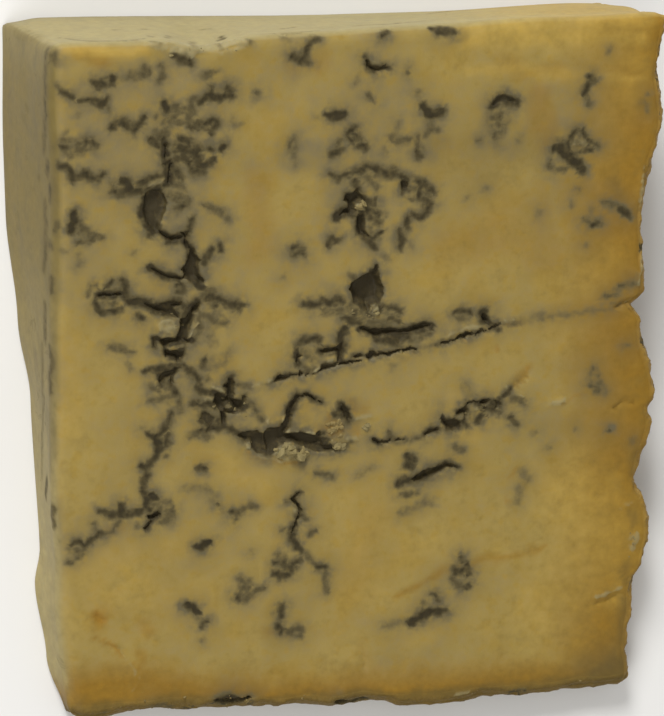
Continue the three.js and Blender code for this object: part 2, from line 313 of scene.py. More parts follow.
# Each stroke is how strong it is, how wide it is on the drawing, and its places there. A place may
# have a width of its own as a third number.
VEINS = {
    "by the corner": [
        (MID, 6, (57, 86), (61, 92)), (DARK, 5, (62, 92), (72, 97)),
        (DARK, 5, (80, 101), (90, 101), (98, 102), (103, 105), (107, 99)),
        (MID, 4, (107, 103), (108, 113)), (FAINT, 7, (78, 115)), (DARK, 8, (93, 82), (100, 85), (106, 85)),
        (DARK, 6, (113, 77), (112, 85)), (FAINT, 5, (116, 80), (130, 77)), (MID, 9, (131, 76), (146, 75)),
        (MID, 7, (143, 67), (146, 75)), (MID, 7, (161, 67), (163, 73)), (MID, 6, (163, 76), (159, 82)),
        (DARK, 8, (176, 57), (181, 59), (189, 63, 4)), (MID, 5, (203, 77), (210, 76), (217, 72)),
        (BLACK, 6, (201, 103), (208, 97), (212, 97)), (DARK, 7, (212, 97), (221, 98), (233, 95)),
        (DARK, 5, (212, 88), (213, 95)), (DARK, 8, (227, 88), (231, 92)), (MID, 8, (257, 94)),
        (FAINT, 4, (232, 121), (237, 126), (242, 123)),
    ],
    "above the seam": [
        (BLACK, 6, (164, 104), (167, 111)), (MID, 6, (170, 106), (180, 112), (172, 117)),
        (MID, 6, (157, 117)), (MID, 6, (195, 99)), (MID, 9, (191, 102), (190, 112), (190, 120)),
        (MID, 5, (164, 122), (178, 121), (190, 122)), (DARK, 7, (192, 129), (197, 126), (200, 122)),
        (DARK, 7, (203, 123), (210, 122), (216, 124), (211, 131)),
        (DARK, 6, (112, 127), (117, 123), (122, 122), (128, 126), (133, 130), (145, 118)),
        (FAINT, 4, (146, 129)), (DARK, 6, (150, 140), (156, 143), (158, 147)),
        (MID, 5, (156, 131), (160, 137), (168, 140)), (BLACK, 8, (165, 140), (166, 155), (165, 161)),
        (DARK, 6, (180, 139), (188, 142), (190, 146)),
        (DARK, 6, (178, 150), (187, 152), (196, 151), (198, 158)),
        (BLACK, 10, (170, 163), (169, 172), (168, 184)), (DARK, 6, (172, 167), (178, 172), (178, 178)),
        (DARK, 6, (190, 164), (194, 172), (203, 172)), (DARK, 5, (203, 166), (210, 163), (214, 159)),
        (BLACK, 7, (209, 148), (212, 150)), (BLACK, 7, (222, 149), (225, 146)),
        (MID, 7, (172, 185), (181, 187)), (DARK, 8, (178, 209), (183, 207)),
        (MID, 6, (172, 196), (187, 200), (187, 206)),
        (MID, 4, (203, 205), (212, 207), (221, 212), (229, 220)),
    ],
    "down the flat side": [
        (FAINT, 5, (61, 138), (66, 133)), (DARK, 6, (60, 146), (65, 147)), (MID, 8, (65, 153)),
        (MID, 4, (70, 151), (82, 150), (87, 147)), (DARK, 5, (85, 139), (86, 145)),
        (DARK, 6, (92, 142), (95, 146)), (DARK, 5, (58, 166), (66, 167), (70, 170), (73, 178), (72, 182)),
        (DARK, 5, (75, 178), (83, 174), (88, 176), (92, 180), (97, 180), (104, 174)),
        (MID, 5, (112, 183), (113, 189)),
        (DARK, 4.5, (111, 192), (119, 194), (128, 191), (138, 191), (150, 190), (160, 186)),
        (BLACK, 7, (121, 181), (126, 184), (130, 189)),
        (DARK, 6, (136, 184), (143, 182), (150, 179, 4), (162, 176, 3)),
        (BLACK, 10, (74, 214), (75, 223), (71, 231)), (MID, 9, (83, 230), (91, 237)), (DARK, 8, (81, 242)),
        (MID, 4, (94, 236), (102, 238)), (FAINT, 4, (61, 250), (66, 252)), (FAINT, 6, (79, 266)),
        (FAINT, 9, (132, 254)), (MID, 5, (89, 294), (91, 287), (96, 286)),
        (BLACK, 6, (100, 295), (110, 294), (121, 295)), (DARK, 4, (109, 286), (112, 281)),
        (DARK, 8, (122, 281), (126, 290), (128, 298)), (MID, 6, (134, 297)),
        (BLACK, 6, (128, 301), (138, 302), (147, 304), (153, 308), (163, 312), (177, 315)),
        (DARK, 9, (155, 306), (166, 304), (178, 303), (184, 306)),
        (DARK, 4, (96, 301), (98, 309), (105, 312), (116, 312), (121, 309)),
        (DARK, 6, (139, 315), (142, 319)), (MID, 3.5, (110, 347), (120, 348), (127, 351), (133, 351)),
        (FAINT, 5, (127, 363), (131, 370)),
    ],
    "seam": [
        (BLACK, 15, (157, 190, 10), (153, 200, 20), (152, 212, 18), (154, 222, 12), (158, 230, 6)),
        (DARK, 5, (151, 226), (150, 235)), (BLACK, 6, (144, 198), (143, 212), (147, 224), (154, 232)),
        (BLACK, 6, (158, 230), (165, 236), (172, 240), (180, 238), (186, 236)),
        (DARK, 4, (193, 219), (189, 226), (186, 238)), (BLACK, 6, (185, 240), (190, 250)),
        (BLACK, 14, (191, 251, 6), (193, 260, 12), (193, 270, 20), (196, 278, 16), (201, 286, 5)),
        (DARK, 7, (204, 263, 4), (208, 258), (211, 249, 4)), (DARK, 5, (219, 244), (220, 249)),
        (BLACK, 5, (150, 268), (158, 272), (167, 277), (180, 278)),
        (DARK, 3.5, (176, 286), (181, 284), (184, 289), (181, 293), (176, 292)),
        (MID, 7, (203, 296), (206, 292), (215, 292)),
        (DARK, 6, (208, 298), (213, 297), (222, 301), (232, 303), (240, 307), (245, 305, 3)),
        (DARK, 5, (216, 306)), (MID, 7, (205, 315), (214, 321), (225, 323)), (MID, 4, (233, 312)),
        (BLACK, 12, (198, 302, 6), (190, 310, 11), (187, 320, 13), (184, 330, 13), (182, 339, 12)),
        (MID, 4, (199, 308), (199, 320), (200, 330), (195, 338)), (DARK, 5, (153, 338), (154, 346)),
        (BLACK, 6, (158, 340), (170, 342), (182, 342), (193, 340)),
        (BLACK, 8, (165, 349), (171, 355), (180, 355), (183, 349)), (DARK, 4, (180, 360), (179, 366)),
        (DARK, 4.5, (146, 371), (156, 371), (166, 368), (178, 365)),
        (BLACK, 9, (160, 375), (166, 375), (173, 371)), (DARK, 5, (166, 378), (162, 384)),
        (DARK, 5, (171, 380), (172, 388), (175, 394)),
        (DARK, 4.5, (183, 366), (190, 372), (196, 377), (201, 383)),
        (DARK, 5, (196, 387), (203, 391), (213, 392)), (MID, 5, (207, 379)),
        (DARK, 6, (204, 361), (204, 366)), (FAINT, 4, (200, 368), (214, 367), (225, 364), (228, 350)),
        (MID, 5, (151, 385), (160, 392)), (MID, 4.5, (149, 400), (157, 402), (168, 396)),
        (MID, 4, (178, 396), (179, 404), (180, 412)),
        (DARK, 5, (171, 413), (170, 420), (165, 428), (160, 434)), (DARK, 5, (149, 434), (156, 436)),
        (BLACK, 8, (157, 437), (160, 447), (158, 452)), (DARK, 6, (168, 435), (168, 445)),
        (MID, 5, (166, 455)), (DARK, 4, (157, 456), (150, 463), (146, 470), (146, 480), (143, 488)),
        (BLACK, 6, (142, 466), (144, 469)), (FAINT, 4, (140, 427), (150, 430)),
    ],
    "where the seam meets the cracks": [
        (BLACK, 8, (230, 378), (229, 386), (230, 395)), (MID, 4, (235, 385), (249, 386)),
        (BLACK, 8, (213, 393), (222, 396), (226, 402)), (BLACK, 12, (221, 396), (226, 404), (230, 400)),
        (BLACK, 10, (231, 402), (238, 404), (243, 406)), (BLACK, 9, (216, 396), (221, 404), (226, 408)),
        (BLACK, 11, (236, 404), (242, 408)), (DARK, 5, (243, 404), (245, 396)),
        (DARK, 6, (193, 404), (203, 404), (212, 405)), (BLACK, 8, (205, 414), (207, 421)),
        (DARK, 6, (200, 419), (207, 424)), (BLACK, 8, (222, 412), (224, 424)),
        (DARK, 6, (203, 431), (213, 429), (226, 427)), (MID, 6, (190, 437), (199, 433), (208, 437)),
        (MID, 5, (249, 402), (256, 412), (262, 420)), (DARK, 5, (226, 427), (234, 430), (242, 434)),
        (DARK, 14, (244, 438, 10), (252, 440, 16), (262, 444, 20)),
        (BLACK, 20, (258, 440, 10), (268, 442, 24), (276, 438, 28), (288, 438, 22)),
        (BLACK, 16, (284, 437, 16), (300, 438, 18), (314, 441), (324, 443, 12)),
        (BLACK, 8, (270, 450, 14), (275, 446, 10)), (BLACK, 7, (318, 444), (330, 448), (336, 448, 4)),
        (DARK, 5, (318, 434), (324, 432)), (MID, 6, (336, 449), (346, 447), (350, 441)),
        (BLACK, 6, (285, 430, 9), (290, 413), (293, 403), (298, 397, 5)),
        (DARK, 4.5, (298, 396), (308, 396), (322, 403)),
        (BLACK, 11, (341, 405, 5), (345, 412), (348, 419, 8)), (DARK, 8, (334, 415), (344, 414)),
        (DARK, 5, (300, 450, 3), (303, 460, 5)), (BLACK, 5, (374, 440), (380, 443)),
        (MID, 5, (382, 442), (392, 440), (402, 440), (409, 441)), (MID, 4, (388, 432), (390, 438)),
        (MID, 4, (413, 438), (420, 437)), (DARK, 6, (425, 433), (432, 430), (440, 429, 3)),
        (BLACK, 10, (443, 418, 2.5), (449, 424), (458, 425, 9)), (MID, 5, (449, 432), (456, 431)),
        (BLACK, 8, (459, 412), (465, 411)), (DARK, 3, (466, 407), (470, 403), (478, 402)),
        (DARK, 4, (465, 415), (464, 421), (468, 427)), (BLACK, 7, (480, 402), (488, 401)),
        (DARK, 8, (491, 402), (497, 404), (501, 405)), (DARK, 5, (485, 408), (493, 411), (500, 413)),
        (DARK, 6, (481, 415), (478, 422)), (MID, 5, (512, 399), (519, 401), (526, 405)),
        (DARK, 2.2, (498, 399), (505, 395), (512, 388)), (DARK, 5, (511, 418), (516, 424)),
        (MID, 6, (455, 447), (462, 451)), (FAINT, 10, (463, 384), (470, 394)),
        (FAINT, 5, (392, 365), (395, 366)), (FAINT, 8, (535, 433)), (FAINT, 10, (549, 448)),
        (FAINT, 8, (575, 427)),
    ],
    "along the long crack": [
        (FAINT, 2, (262, 386), (275, 382)), (DARK, 4, (276, 379), (284, 377), (292, 375, 3)),
        (MID, 2.4, (292, 375), (306, 374), (316, 372)), (DARK, 4, (321, 368), (327, 366), (335, 364, 3)),
        (MID, 3, (335, 364), (345, 362), (360, 361)), (DARK, 2.4, (353, 357), (364, 355), (374, 354)),
        (MID, 2.4, (374, 355), (390, 352), (405, 350), (417, 349)), (FAINT, 2.4, (417, 349), (436, 345)),
        (MID, 3, (438, 344), (446, 342), (456, 339)), (DARK, 2.4, (457, 338), (466, 335), (476, 333)),
        (MID, 2.4, (476, 334), (490, 329), (499, 326)), (MID, 2.2, (500, 326), (510, 324), (520, 322)),
        (FAINT, 6, (522, 321), (540, 317), (560, 315)), (FAINT, 4, (560, 315), (590, 312), (612, 309)),
    ],
    "round the teardrop": [
        (DARK, 6, (291, 248), (297, 246)), (DARK, 6, (295, 255), (302, 254)),
        (MID, 6, (292, 252), (304, 248)), (DARK, 6, (328, 244), (333, 238), (339, 239)),
        (MID, 6, (351, 275), (355, 278)), (FAINT, 6, (382, 255), (388, 258)),
        (BLACK, 20, (377, 266, 3), (374, 274, 10), (368, 283, 20), (365, 291, 30), (367, 298, 22)),
        (DARK, 12, (356, 300), (366, 306), (371, 313, 8)), (DARK, 6, (380, 300), (379, 311)),
        (DARK, 6, (303, 304), (312, 306), (320, 303)),
        (DARK, 5, (322, 299), (328, 303), (334, 303), (338, 298), (342, 302)),
        (DARK, 5, (343, 318), (350, 322), (360, 323)), (MID, 6, (348, 308), (356, 314), (362, 318)),
        (DARK, 5, (386, 307), (395, 308), (400, 312)), (DARK, 5, (390, 319), (398, 322)),
        (MID, 5, (368, 322), (380, 325), (390, 324)),
        (BLACK, 9, (360, 329, 4), (370, 332), (385, 333), (400, 333), (412, 331), (424, 329)),
        (DARK, 9, (374, 337), (386, 339), (398, 342), (408, 337)), (BLACK, 6, (421, 325), (432, 326)),
        (MID, 7, (420, 334), (430, 334)), (DARK, 5, (296, 346), (303, 341), (313, 338), (320, 341)),
        (BLACK, 7, (297, 350, 4), (297, 357), (298, 364, 4)), (DARK, 8, (320, 351), (337, 351)),
        (BLACK, 6, (345, 329), (342, 336), (342, 346), (339, 354), (340, 361)),
        (MID, 4, (302, 364), (308, 370), (314, 368)), (DARK, 5, (455, 312), (463, 311), (471, 312)),
        (MID, 6, (459, 319), (466, 320)), (BLACK, 9, (483, 313, 7), (485, 320), (488, 323)),
        (DARK, 7, (491, 325), (498, 328)),
    ],
    "under the rind": [
        (DARK, 5, (318, 39), (311, 41), (308, 49), (306, 59)), (DARK, 6, (293, 55), (300, 61), (308, 62)),
        (DARK, 5, (382, 37), (388, 32)), (DARK, 6, (431, 28), (438, 31, 8), (446, 31), (455, 33)),
        (DARK, 5, (365, 58), (368, 65), (375, 69), (388, 68)), (MID, 7, (407, 73)),
        (FAINT, 5, (359, 76), (355, 84)), (MID, 5, (369, 95), (374, 101)), (MID, 5, (418, 92)),
        (BLACK, 7, (328, 114), (334, 116), (343, 115)), (FAINT, 6, (318, 118)),
        (BLACK, 6, (424, 106), (427, 112), (432, 116), (438, 112), (443, 111)),
        (MID, 5, (431, 119), (431, 128), (427, 135)), (MID, 6, (437, 131)),
        (MID, 5, (391, 139), (398, 141), (410, 139)), (FAINT, 5, (398, 123), (397, 133)),
        (MID, 6, (418, 138), (418, 148)), (DARK, 8, (418, 152), (420, 156)),
        (DARK, 6, (346, 137), (351, 130), (357, 129)), (DARK, 6, (349, 138), (352, 140)),
        (MID, 6, (358, 131), (361, 140)), (MID, 5, (338, 142), (344, 138)),
        (DARK, 8, (359, 146), (366, 147)), (DARK, 7, (331, 154), (337, 151), (342, 150)),
        (FAINT, 4, (383, 148), (386, 153)), (MID, 9, (293, 139), (291, 145)),
        (FAINT, 7, (290, 150), (297, 164)), (FAINT, 4, (610, 47), (608, 53)),
    ],
    "the broken ring": [
        (DARK, 5, (331, 175), (338, 178), (345, 175), (352, 172)),
        (DARK, 6, (352, 173), (361, 172), (367, 166)),
        (DARK, 5, (367, 166), (374, 169), (385, 174), (396, 174), (402, 177), (409, 179)),
        (MID, 5, (393, 166), (398, 171)), (MID, 5, (366, 176), (377, 188)),
        (BLACK, 9, (404, 182), (405, 189)), (DARK, 6, (416, 181), (424, 183), (430, 189), (434, 193)),
        (DARK, 6, (420, 186), (420, 198)), (MID, 4, (411, 199), (417, 198)),
        (DARK, 5, (424, 199), (430, 204), (427, 212), (421, 217), (413, 214)),
        (DARK, 6, (408, 218), (407, 228)), (DARK, 6, (400, 231), (402, 240), (399, 248)),
        (FAINT, 7, (410, 245)), (DARK, 6, (354, 181), (357, 190)),
        (BLACK, 15, (350, 198, 12), (357, 197, 12), (352, 204, 14), (352, 210, 8)),
        (BLACK, 10, (336, 217, 5), (343, 212), (352, 213)), (DARK, 10, (362, 206), (368, 212)),
        (DARK, 5, (363, 196), (368, 204), (374, 205)), (DARK, 4, (376, 199), (375, 206)),
        (MID, 7, (370, 210), (376, 217)), (BLACK, 10, (361, 214, 7), (361, 223), (361, 232)),
        (DARK, 5, (363, 236), (370, 239), (374, 247)), (DARK, 5, (373, 239), (380, 233)),
        (MID, 5, (371, 228)), (DARK, 5, (372, 211), (376, 214)), (FAINT, 5, (486, 188)),
        (FAINT, 6, (468, 198)), (FAINT, 8, (538, 213)), (FAINT, 5, (284, 276)),
    ],
    "towards the broken side": [
        (BLACK, 10, (493, 106, 6), (498, 101), (505, 98), (512, 101), (516, 103, 6)),
        (FAINT, 8, (489, 112), (490, 124), (495, 134), (497, 143)),
        (FAINT, 8, (507, 110), (507, 122), (502, 132)), (MID, 6, (479, 140)), (FAINT, 7, (519, 139)),
        (DARK, 7, (590, 76), (594, 81)), (DARK, 6, (588, 85), (584, 93)), (MID, 7, (588, 96), (589, 104)),
        (MID, 5, (557, 141), (566, 142)), (DARK, 6, (577, 130), (572, 138), (568, 144), (569, 149)),
        (DARK, 5, (583, 131), (585, 137)), (BLACK, 8, (555, 149), (562, 148)),
        (BLACK, 9, (562, 152), (570, 157), (576, 163), (582, 170)), (DARK, 6, (589, 141), (597, 145)),
        (DARK, 5, (590, 150), (580, 151)), (MID, 4, (550, 160), (549, 167), (560, 169), (570, 167)),
        (MID, 5, (579, 190)), (FAINT, 7, (571, 205)), (FAINT, 9, (592, 210)),
        (MID, 6, (604, 202), (612, 204), (620, 207)), (DARK, 5, (620, 208), (626, 213), (630, 217)),
        (MID, 4, (584, 220), (590, 225)), (DARK, 5, (592, 226), (600, 223)), (FAINT, 5, (586, 246)),
        (FAINT, 5, (645, 103), (648, 110)), (FAINT, 4, (648, 94)), (MID, 5, (604, 296), (617, 295)),
        (MID, 5, (621, 286), (628, 285), (635, 283)), (FAINT, 5, (610, 303), (619, 304)),
        (FAINT, 5, (624, 347), (629, 345)), (MID, 7, (593, 368)), (MID, 8, (590, 385), (598, 390)),
        (FAINT, 9, (606, 393)), (MID, 7, (609, 430)), (FAINT, 7, (632, 440)),
    ],
    "end of the seam": [
        (DARK, 5, (143, 480), (145, 491)), (BLACK, 6, (145, 492), (147, 500), (146, 508)),
        (BLACK, 5, (151, 495), (157, 499)), (MID, 4.5, (158, 500), (169, 503), (174, 507)),
        (MID, 4.5, (150, 502), (159, 507), (162, 516)), (BLACK, 9, (151, 518), (157, 515)),
        (BLACK, 7, (146, 529), (151, 523)), (MID, 6, (165, 511), (172, 512), (169, 519), (160, 522)),
        (MID, 4, (138, 526)),
        (DARK, 4.5, (100, 512), (110, 514), (120, 513), (130, 515), (139, 511), (150, 510)),
        (BLACK, 6, (121, 506), (121, 514)), (BLACK, 4, (128, 514)), (MID, 5, (120, 521), (116, 526)),
        (DARK, 7, (99, 534), (102, 534)), (DARK, 3.5, (96, 536), (90, 541), (85, 546)),
        (MID, 3, (104, 534), (112, 533)), (DARK, 3.5, (70, 546), (75, 542), (80, 542), (86, 546)),
        (MID, 6, (85, 548), (79, 557)), (MID, 6, (68, 562), (72, 562)), (MID, 6, (94, 523)),
        (FAINT, 4, (59, 541)),
    ],
    "towards the tip": [
        (DARK, 6, (199, 468), (205, 469)), (FAINT, 5, (184, 489), (195, 487), (210, 489), (217, 496)),
        (DARK, 6, (218, 505)), (FAINT, 4, (212, 500), (224, 513)),
        (DARK, 6, (231, 510), (235, 514), (239, 514)),
        (MID, 4.5, (239, 513), (244, 509), (250, 506), (256, 507)), (MID, 5, (235, 521)),
        (BLACK, 5, (196, 547), (203, 546), (210, 543)), (DARK, 7, (299, 493, 5), (294, 499)),
        (MID, 4, (287, 502), (293, 500)), (MID, 4, (297, 502), (300, 509), (300, 515)),
        (DARK, 7, (298, 517), (301, 515)), (MID, 4, (302, 517), (308, 518)),
        (DARK, 6, (295, 523), (292, 532), (293, 540), (298, 547, 3), (302, 551, 2)), (MID, 5, (283, 529)),
        (MID, 5, (309, 535), (313, 532), (317, 530)), (FAINT, 7, (252, 552)),
        (MID, 4, (307, 553), (312, 560), (317, 566)), (DARK, 7, (319, 567), (324, 567)),
        (MID, 5, (326, 570), (326, 585), (328, 592, 3)), (DARK, 6, (274, 563), (283, 562), (285, 566)),
        (MID, 5, (277, 556), (283, 558)), (DARK, 6, (292, 563), (300, 560)),
        (DARK, 7, (291, 567), (293, 572)), (DARK, 6, (274, 573), (282, 576), (290, 575)),
        (MID, 4.5, (239, 578), (245, 583), (250, 582)), (MID, 4, (250, 583), (248, 592), (246, 600)),
        (MID, 5, (247, 585), (242, 591), (237, 597)), (DARK, 6, (235, 598), (239, 600)),
        (MID, 5, (239, 600), (245, 601), (250, 597)), (MID, 5, (250, 596), (257, 590), (264, 588)),
        (BLACK, 4.5, (186, 605), (192, 607), (196, 611), (199, 612)), (DARK, 5, (201, 626), (207, 623)),
        (FAINT, 7, (202, 640)), (DARK, 7, (281, 607), (281, 615)), (FAINT, 6, (272, 614)),
        (DARK, 8, (278, 626), (281, 631)), (MID, 5, (288, 632), (297, 628), (302, 630)),
        (MID, 5, (290, 634), (300, 637)), (MID, 4, (315, 473), (324, 475), (334, 477)),
        (FAINT, 6, (358, 475), (372, 468)),
        (DARK, 9, (401, 482, 6), (412, 480, 8), (426, 475, 12), (437, 470), (447, 464, 6)),
        (DARK, 5, (447, 464), (458, 468, 2)), (DARK, 6, (399, 485), (404, 478)),
        (DARK, 8, (408, 457), (412, 459), (408, 464), (413, 468)),
        (MID, 4, (400, 494), (408, 495), (416, 493)),
        (FAINT, 7, (400, 512), (412, 509), (424, 502), (431, 503)),
        (FAINT, 8, (521, 470), (527, 480), (520, 490), (517, 502)), (DARK, 6, (461, 557), (462, 561)),
        (DARK, 8, (455, 569), (457, 573), (462, 571)), (DARK, 6, (467, 565), (469, 574)),
        (MID, 5, (452, 580), (458, 584), (464, 587)), (DARK, 6, (464, 588), (470, 586)),
        (DARK, 6, (434, 594), (438, 601)),
        (BLACK, 9, (410, 623, 4), (420, 618), (430, 613), (440, 611, 5)),
        (DARK, 6, (434, 611), (447, 611)), (MID, 4, (423, 604), (424, 610)),
        (FAINT, 8, (385, 626, 6), (398, 623), (410, 621)),
        (BLACK, 12, (219, 701, 8), (228, 699), (238, 700, 8)),
        (BLACK, 8, (338, 702, 5), (350, 702), (362, 700, 5)), (MID, 6, (152, 706), (162, 705)),
    ],
    "in the flat side": [
        (MID, 12.0, (47, 51), (47, 54)), (MID, 12.0, (53, 56), (54, 60)),
        (0.45, 18, (46, 58), (45, 80), (46, 95)), (MID, 14, (45, 99), (46, 113)),
        (0.45, 18, (45, 118), (44, 150)), (MID, 12.0, (48, 164), (47, 172)),
        (MID, 8.4, (50, 186), (50, 200)), (0.45, 16, (45, 204), (46, 240), (44, 270)),
        (MID, 9.6, (56, 225), (55, 231)), (MID, 9.6, (50, 244), (51, 247)),
        (MID, 12.0, (51, 279), (52, 291)), (0.45, 14, (45, 306), (45, 340)),
        (FAINT, 12.0, (42, 345), (43, 395)), (MID, 9.6, (50, 348), (51, 358)),
        (MID, 8.4, (52, 362), (50, 378), (51, 392)), (FAINT, 12.0, (27, 108)), (FAINT, 12.0, (39, 178)),
        (FAINT, 10.8, (44, 398), (42, 440), (42, 476)), (MID, 10.8, (47, 480), (46, 495)),
        (MID, 12.0, (53, 508), (52, 516), (54, 525)),
    ],
    "in the rind side": [
        (FAINT, 3.0, (60, 38), (90, 41), (130, 41), (148, 38)), (FAINT, 4.5, (114, 30), (122, 29)),
        (FAINT, 4.5, (144, 29), (150, 30)), (FAINT, 4.5, (149, 36), (152, 37)),
        (FAINT, 9.0, (153, 42), (158, 44)), (FAINT, 6.0, (166, 38), (170, 36)),
        (FAINT, 7.5, (192, 42), (194, 49)), (FAINT, 4.5, (196, 30), (210, 29)),
        (MID, 5.2, (223, 36), (221, 40)), (FAINT, 6.0, (217, 45), (221, 48)),
        (FAINT, 5.2, (248, 40), (251, 42)), (FAINT, 4.5, (282, 29), (296, 27)),
        (FAINT, 3.0, (268, 34), (300, 33), (322, 30)), (FAINT, 6.0, (283, 37), (288, 41)),
        (FAINT, 3.0, (350, 26), (390, 24), (425, 21)), (FAINT, 3.8, (428, 14), (450, 11), (480, 9)),
    ],
}

# Mottled grey patches between the veins.
SMUDGES = {
    "by the corner": [
        (0.63, 18, (100, 83), (114, 82)), (0.3, 34, (16, 30), (38, 38)), (0.63, 20, (136, 74), (148, 72)),
        (0.43, 16, (161, 72), (166, 66)), (0.48, 22, (215, 94), (230, 92)), (0.43, 16, (257, 94)),
        (0.43, 16, (62, 90), (74, 96)), (0.58, 22, (62, 142), (74, 150), (92, 146)),
        (0.48, 12, (112, 187), (126, 188)),
    ],
    "above the seam": [
        (0.45, 18, (166, 106), (170, 132)), (0.4, 20, (204, 100), (214, 98)),
        (0.63, 20, (172, 110), (192, 112)), (0.68, 18, (192, 126), (212, 128)),
        (0.58, 20, (154, 138), (166, 134)), (0.93, 24, (178, 148), (192, 152), (198, 166)),
        (0.68, 16, (174, 168), (180, 180)), (0.85, 20, (178, 158), (192, 160)),
        (0.7, 14, (160, 142), (164, 150)), (0.63, 18, (168, 190), (184, 202)), (0.53, 16, (222, 149)),
        (0.53, 14, (210, 149)),
    ],
    "down the flat side": [
        (0.65, 22, (78, 226), (90, 238)), (0.55, 14, (104, 304), (116, 305)),
        (0.55, 14, (122, 288), (126, 296)), (0.35, 20, (78, 250), (80, 266)),
    ],
    "seam": [
        (0.4, 22, (208, 332), (212, 344)), (0.6, 18, (150, 192), (146, 220)),
        (0.7, 16, (160, 306), (182, 310)), (0.6, 24, (206, 296), (222, 306)),
        (0.5, 18, (208, 316), (224, 322)), (0.5, 12, (180, 288)), (0.4, 14, (208, 258)),
        (0.5, 16, (188, 368), (202, 384)), (0.55, 16, (160, 374), (168, 388)),
        (0.4, 20, (156, 396), (176, 400)), (0.65, 14, (158, 440), (166, 444)),
        (0.3, 30, (206, 364), (226, 358)),
    ],
    "where the seam meets the cracks": [
        (0.7, 20, (198, 404), (212, 408)), (0.85, 22, (206, 420), (222, 422)),
        (0.6, 14, (194, 435), (208, 436)), (0.6, 16, (224, 400), (244, 402)),
        (0.45, 16, (250, 404), (262, 418)), (0.55, 12, (320, 440), (346, 446)),
        (0.5, 12, (338, 414), (348, 414)), (0.4, 12, (386, 436), (404, 440)),
        (0.4, 12, (426, 432), (438, 431)), (0.7, 18, (484, 405), (500, 406)),
        (0.5, 20, (470, 414), (482, 420)), (0.5, 12, (516, 402), (526, 404)),
        (0.35, 16, (506, 416), (514, 422)),
    ],
    "round the teardrop": [
        (0.6, 14, (296, 250)), (0.55, 14, (308, 304), (338, 302)), (0.55, 16, (326, 312), (346, 312)),
        (0.7, 20, (352, 308), (364, 316)), (0.6, 18, (386, 312), (396, 316)),
        (0.5, 12, (372, 322), (392, 323)), (0.65, 14, (380, 338), (404, 340), (426, 334)),
        (0.55, 20, (304, 352), (314, 360)), (0.6, 12, (326, 354), (338, 350)),
        (0.55, 16, (458, 314), (468, 316)), (0.5, 14, (484, 318), (494, 326)),
    ],
    "under the rind": [
        (0.78, 18, (350, 134), (358, 138)), (0.58, 14, (340, 142), (336, 152)), (0.58, 12, (362, 146)),
        (0.48, 14, (428, 112), (432, 130)), (0.48, 14, (396, 138), (408, 140)),
        (0.53, 14, (418, 146), (419, 154)), (0.53, 18, (292, 140), (292, 152)),
        (0.58, 18, (298, 58), (308, 52)), (0.43, 16, (370, 64), (384, 68)),
        (0.48, 14, (440, 30), (450, 32)), (0.38, 12, (372, 98)),
    ],
    "the broken ring": [
        (0.58, 12, (338, 176), (362, 172), (384, 172), (402, 178)),
        (0.63, 16, (404, 186), (426, 190), (426, 206)), (0.63, 20, (346, 208), (344, 214)),
        (0.85, 22, (368, 204), (378, 222)), (0.5, 18, (376, 226), (384, 216)),
        (0.53, 14, (370, 232), (378, 238)), (0.58, 14, (408, 222), (402, 242)),
    ],
    "towards the broken side": [
        (0.6, 24, (498, 110), (499, 122), (497, 134)), (0.7, 16, (496, 104), (510, 103)),
        (0.65, 22, (562, 146), (572, 154), (580, 164)), (0.6, 20, (574, 136), (592, 144)),
        (0.35, 14, (554, 164), (566, 166)), (0.5, 14, (590, 80), (586, 100)),
        (0.4, 18, (606, 203), (624, 212)), (0.35, 16, (590, 218), (598, 224)), (0.25, 14, (538, 213)),
        (0.45, 26, (592, 372), (600, 386)), (0.4, 12, (606, 297), (630, 285)), (0.3, 18, (644, 104)),
    ],
    "end of the seam": [
        (0.6, 14, (146, 500), (160, 506)), (0.6, 16, (160, 516), (168, 512)),
        (0.45, 12, (112, 512), (130, 513)), (0.55, 20, (72, 548), (84, 550)),
        (0.4, 14, (92, 524), (98, 534)), (0.4, 12, (68, 562)),
    ],
    "towards the tip": [
        (0.5, 12, (232, 512), (240, 514)), (0.55, 16, (278, 564), (296, 568)),
        (0.5, 14, (282, 575), (292, 574)), (0.6, 18, (242, 584), (244, 598)),
        (0.4, 14, (188, 608), (204, 622)), (0.5, 14, (281, 610), (280, 628)),
        (0.5, 12, (288, 633), (300, 634)), (0.6, 16, (456, 570), (466, 572)),
        (0.5, 12, (456, 583), (468, 586)), (0.6, 14, (418, 618), (440, 611)),
        (0.25, 12, (392, 624), (404, 622)), (0.5, 14, (408, 458), (412, 468)),
        (0.45, 12, (402, 480), (406, 494)), (0.4, 12, (296, 500), (298, 530)),
        (0.45, 12, (322, 570), (327, 582)),
    ],
}

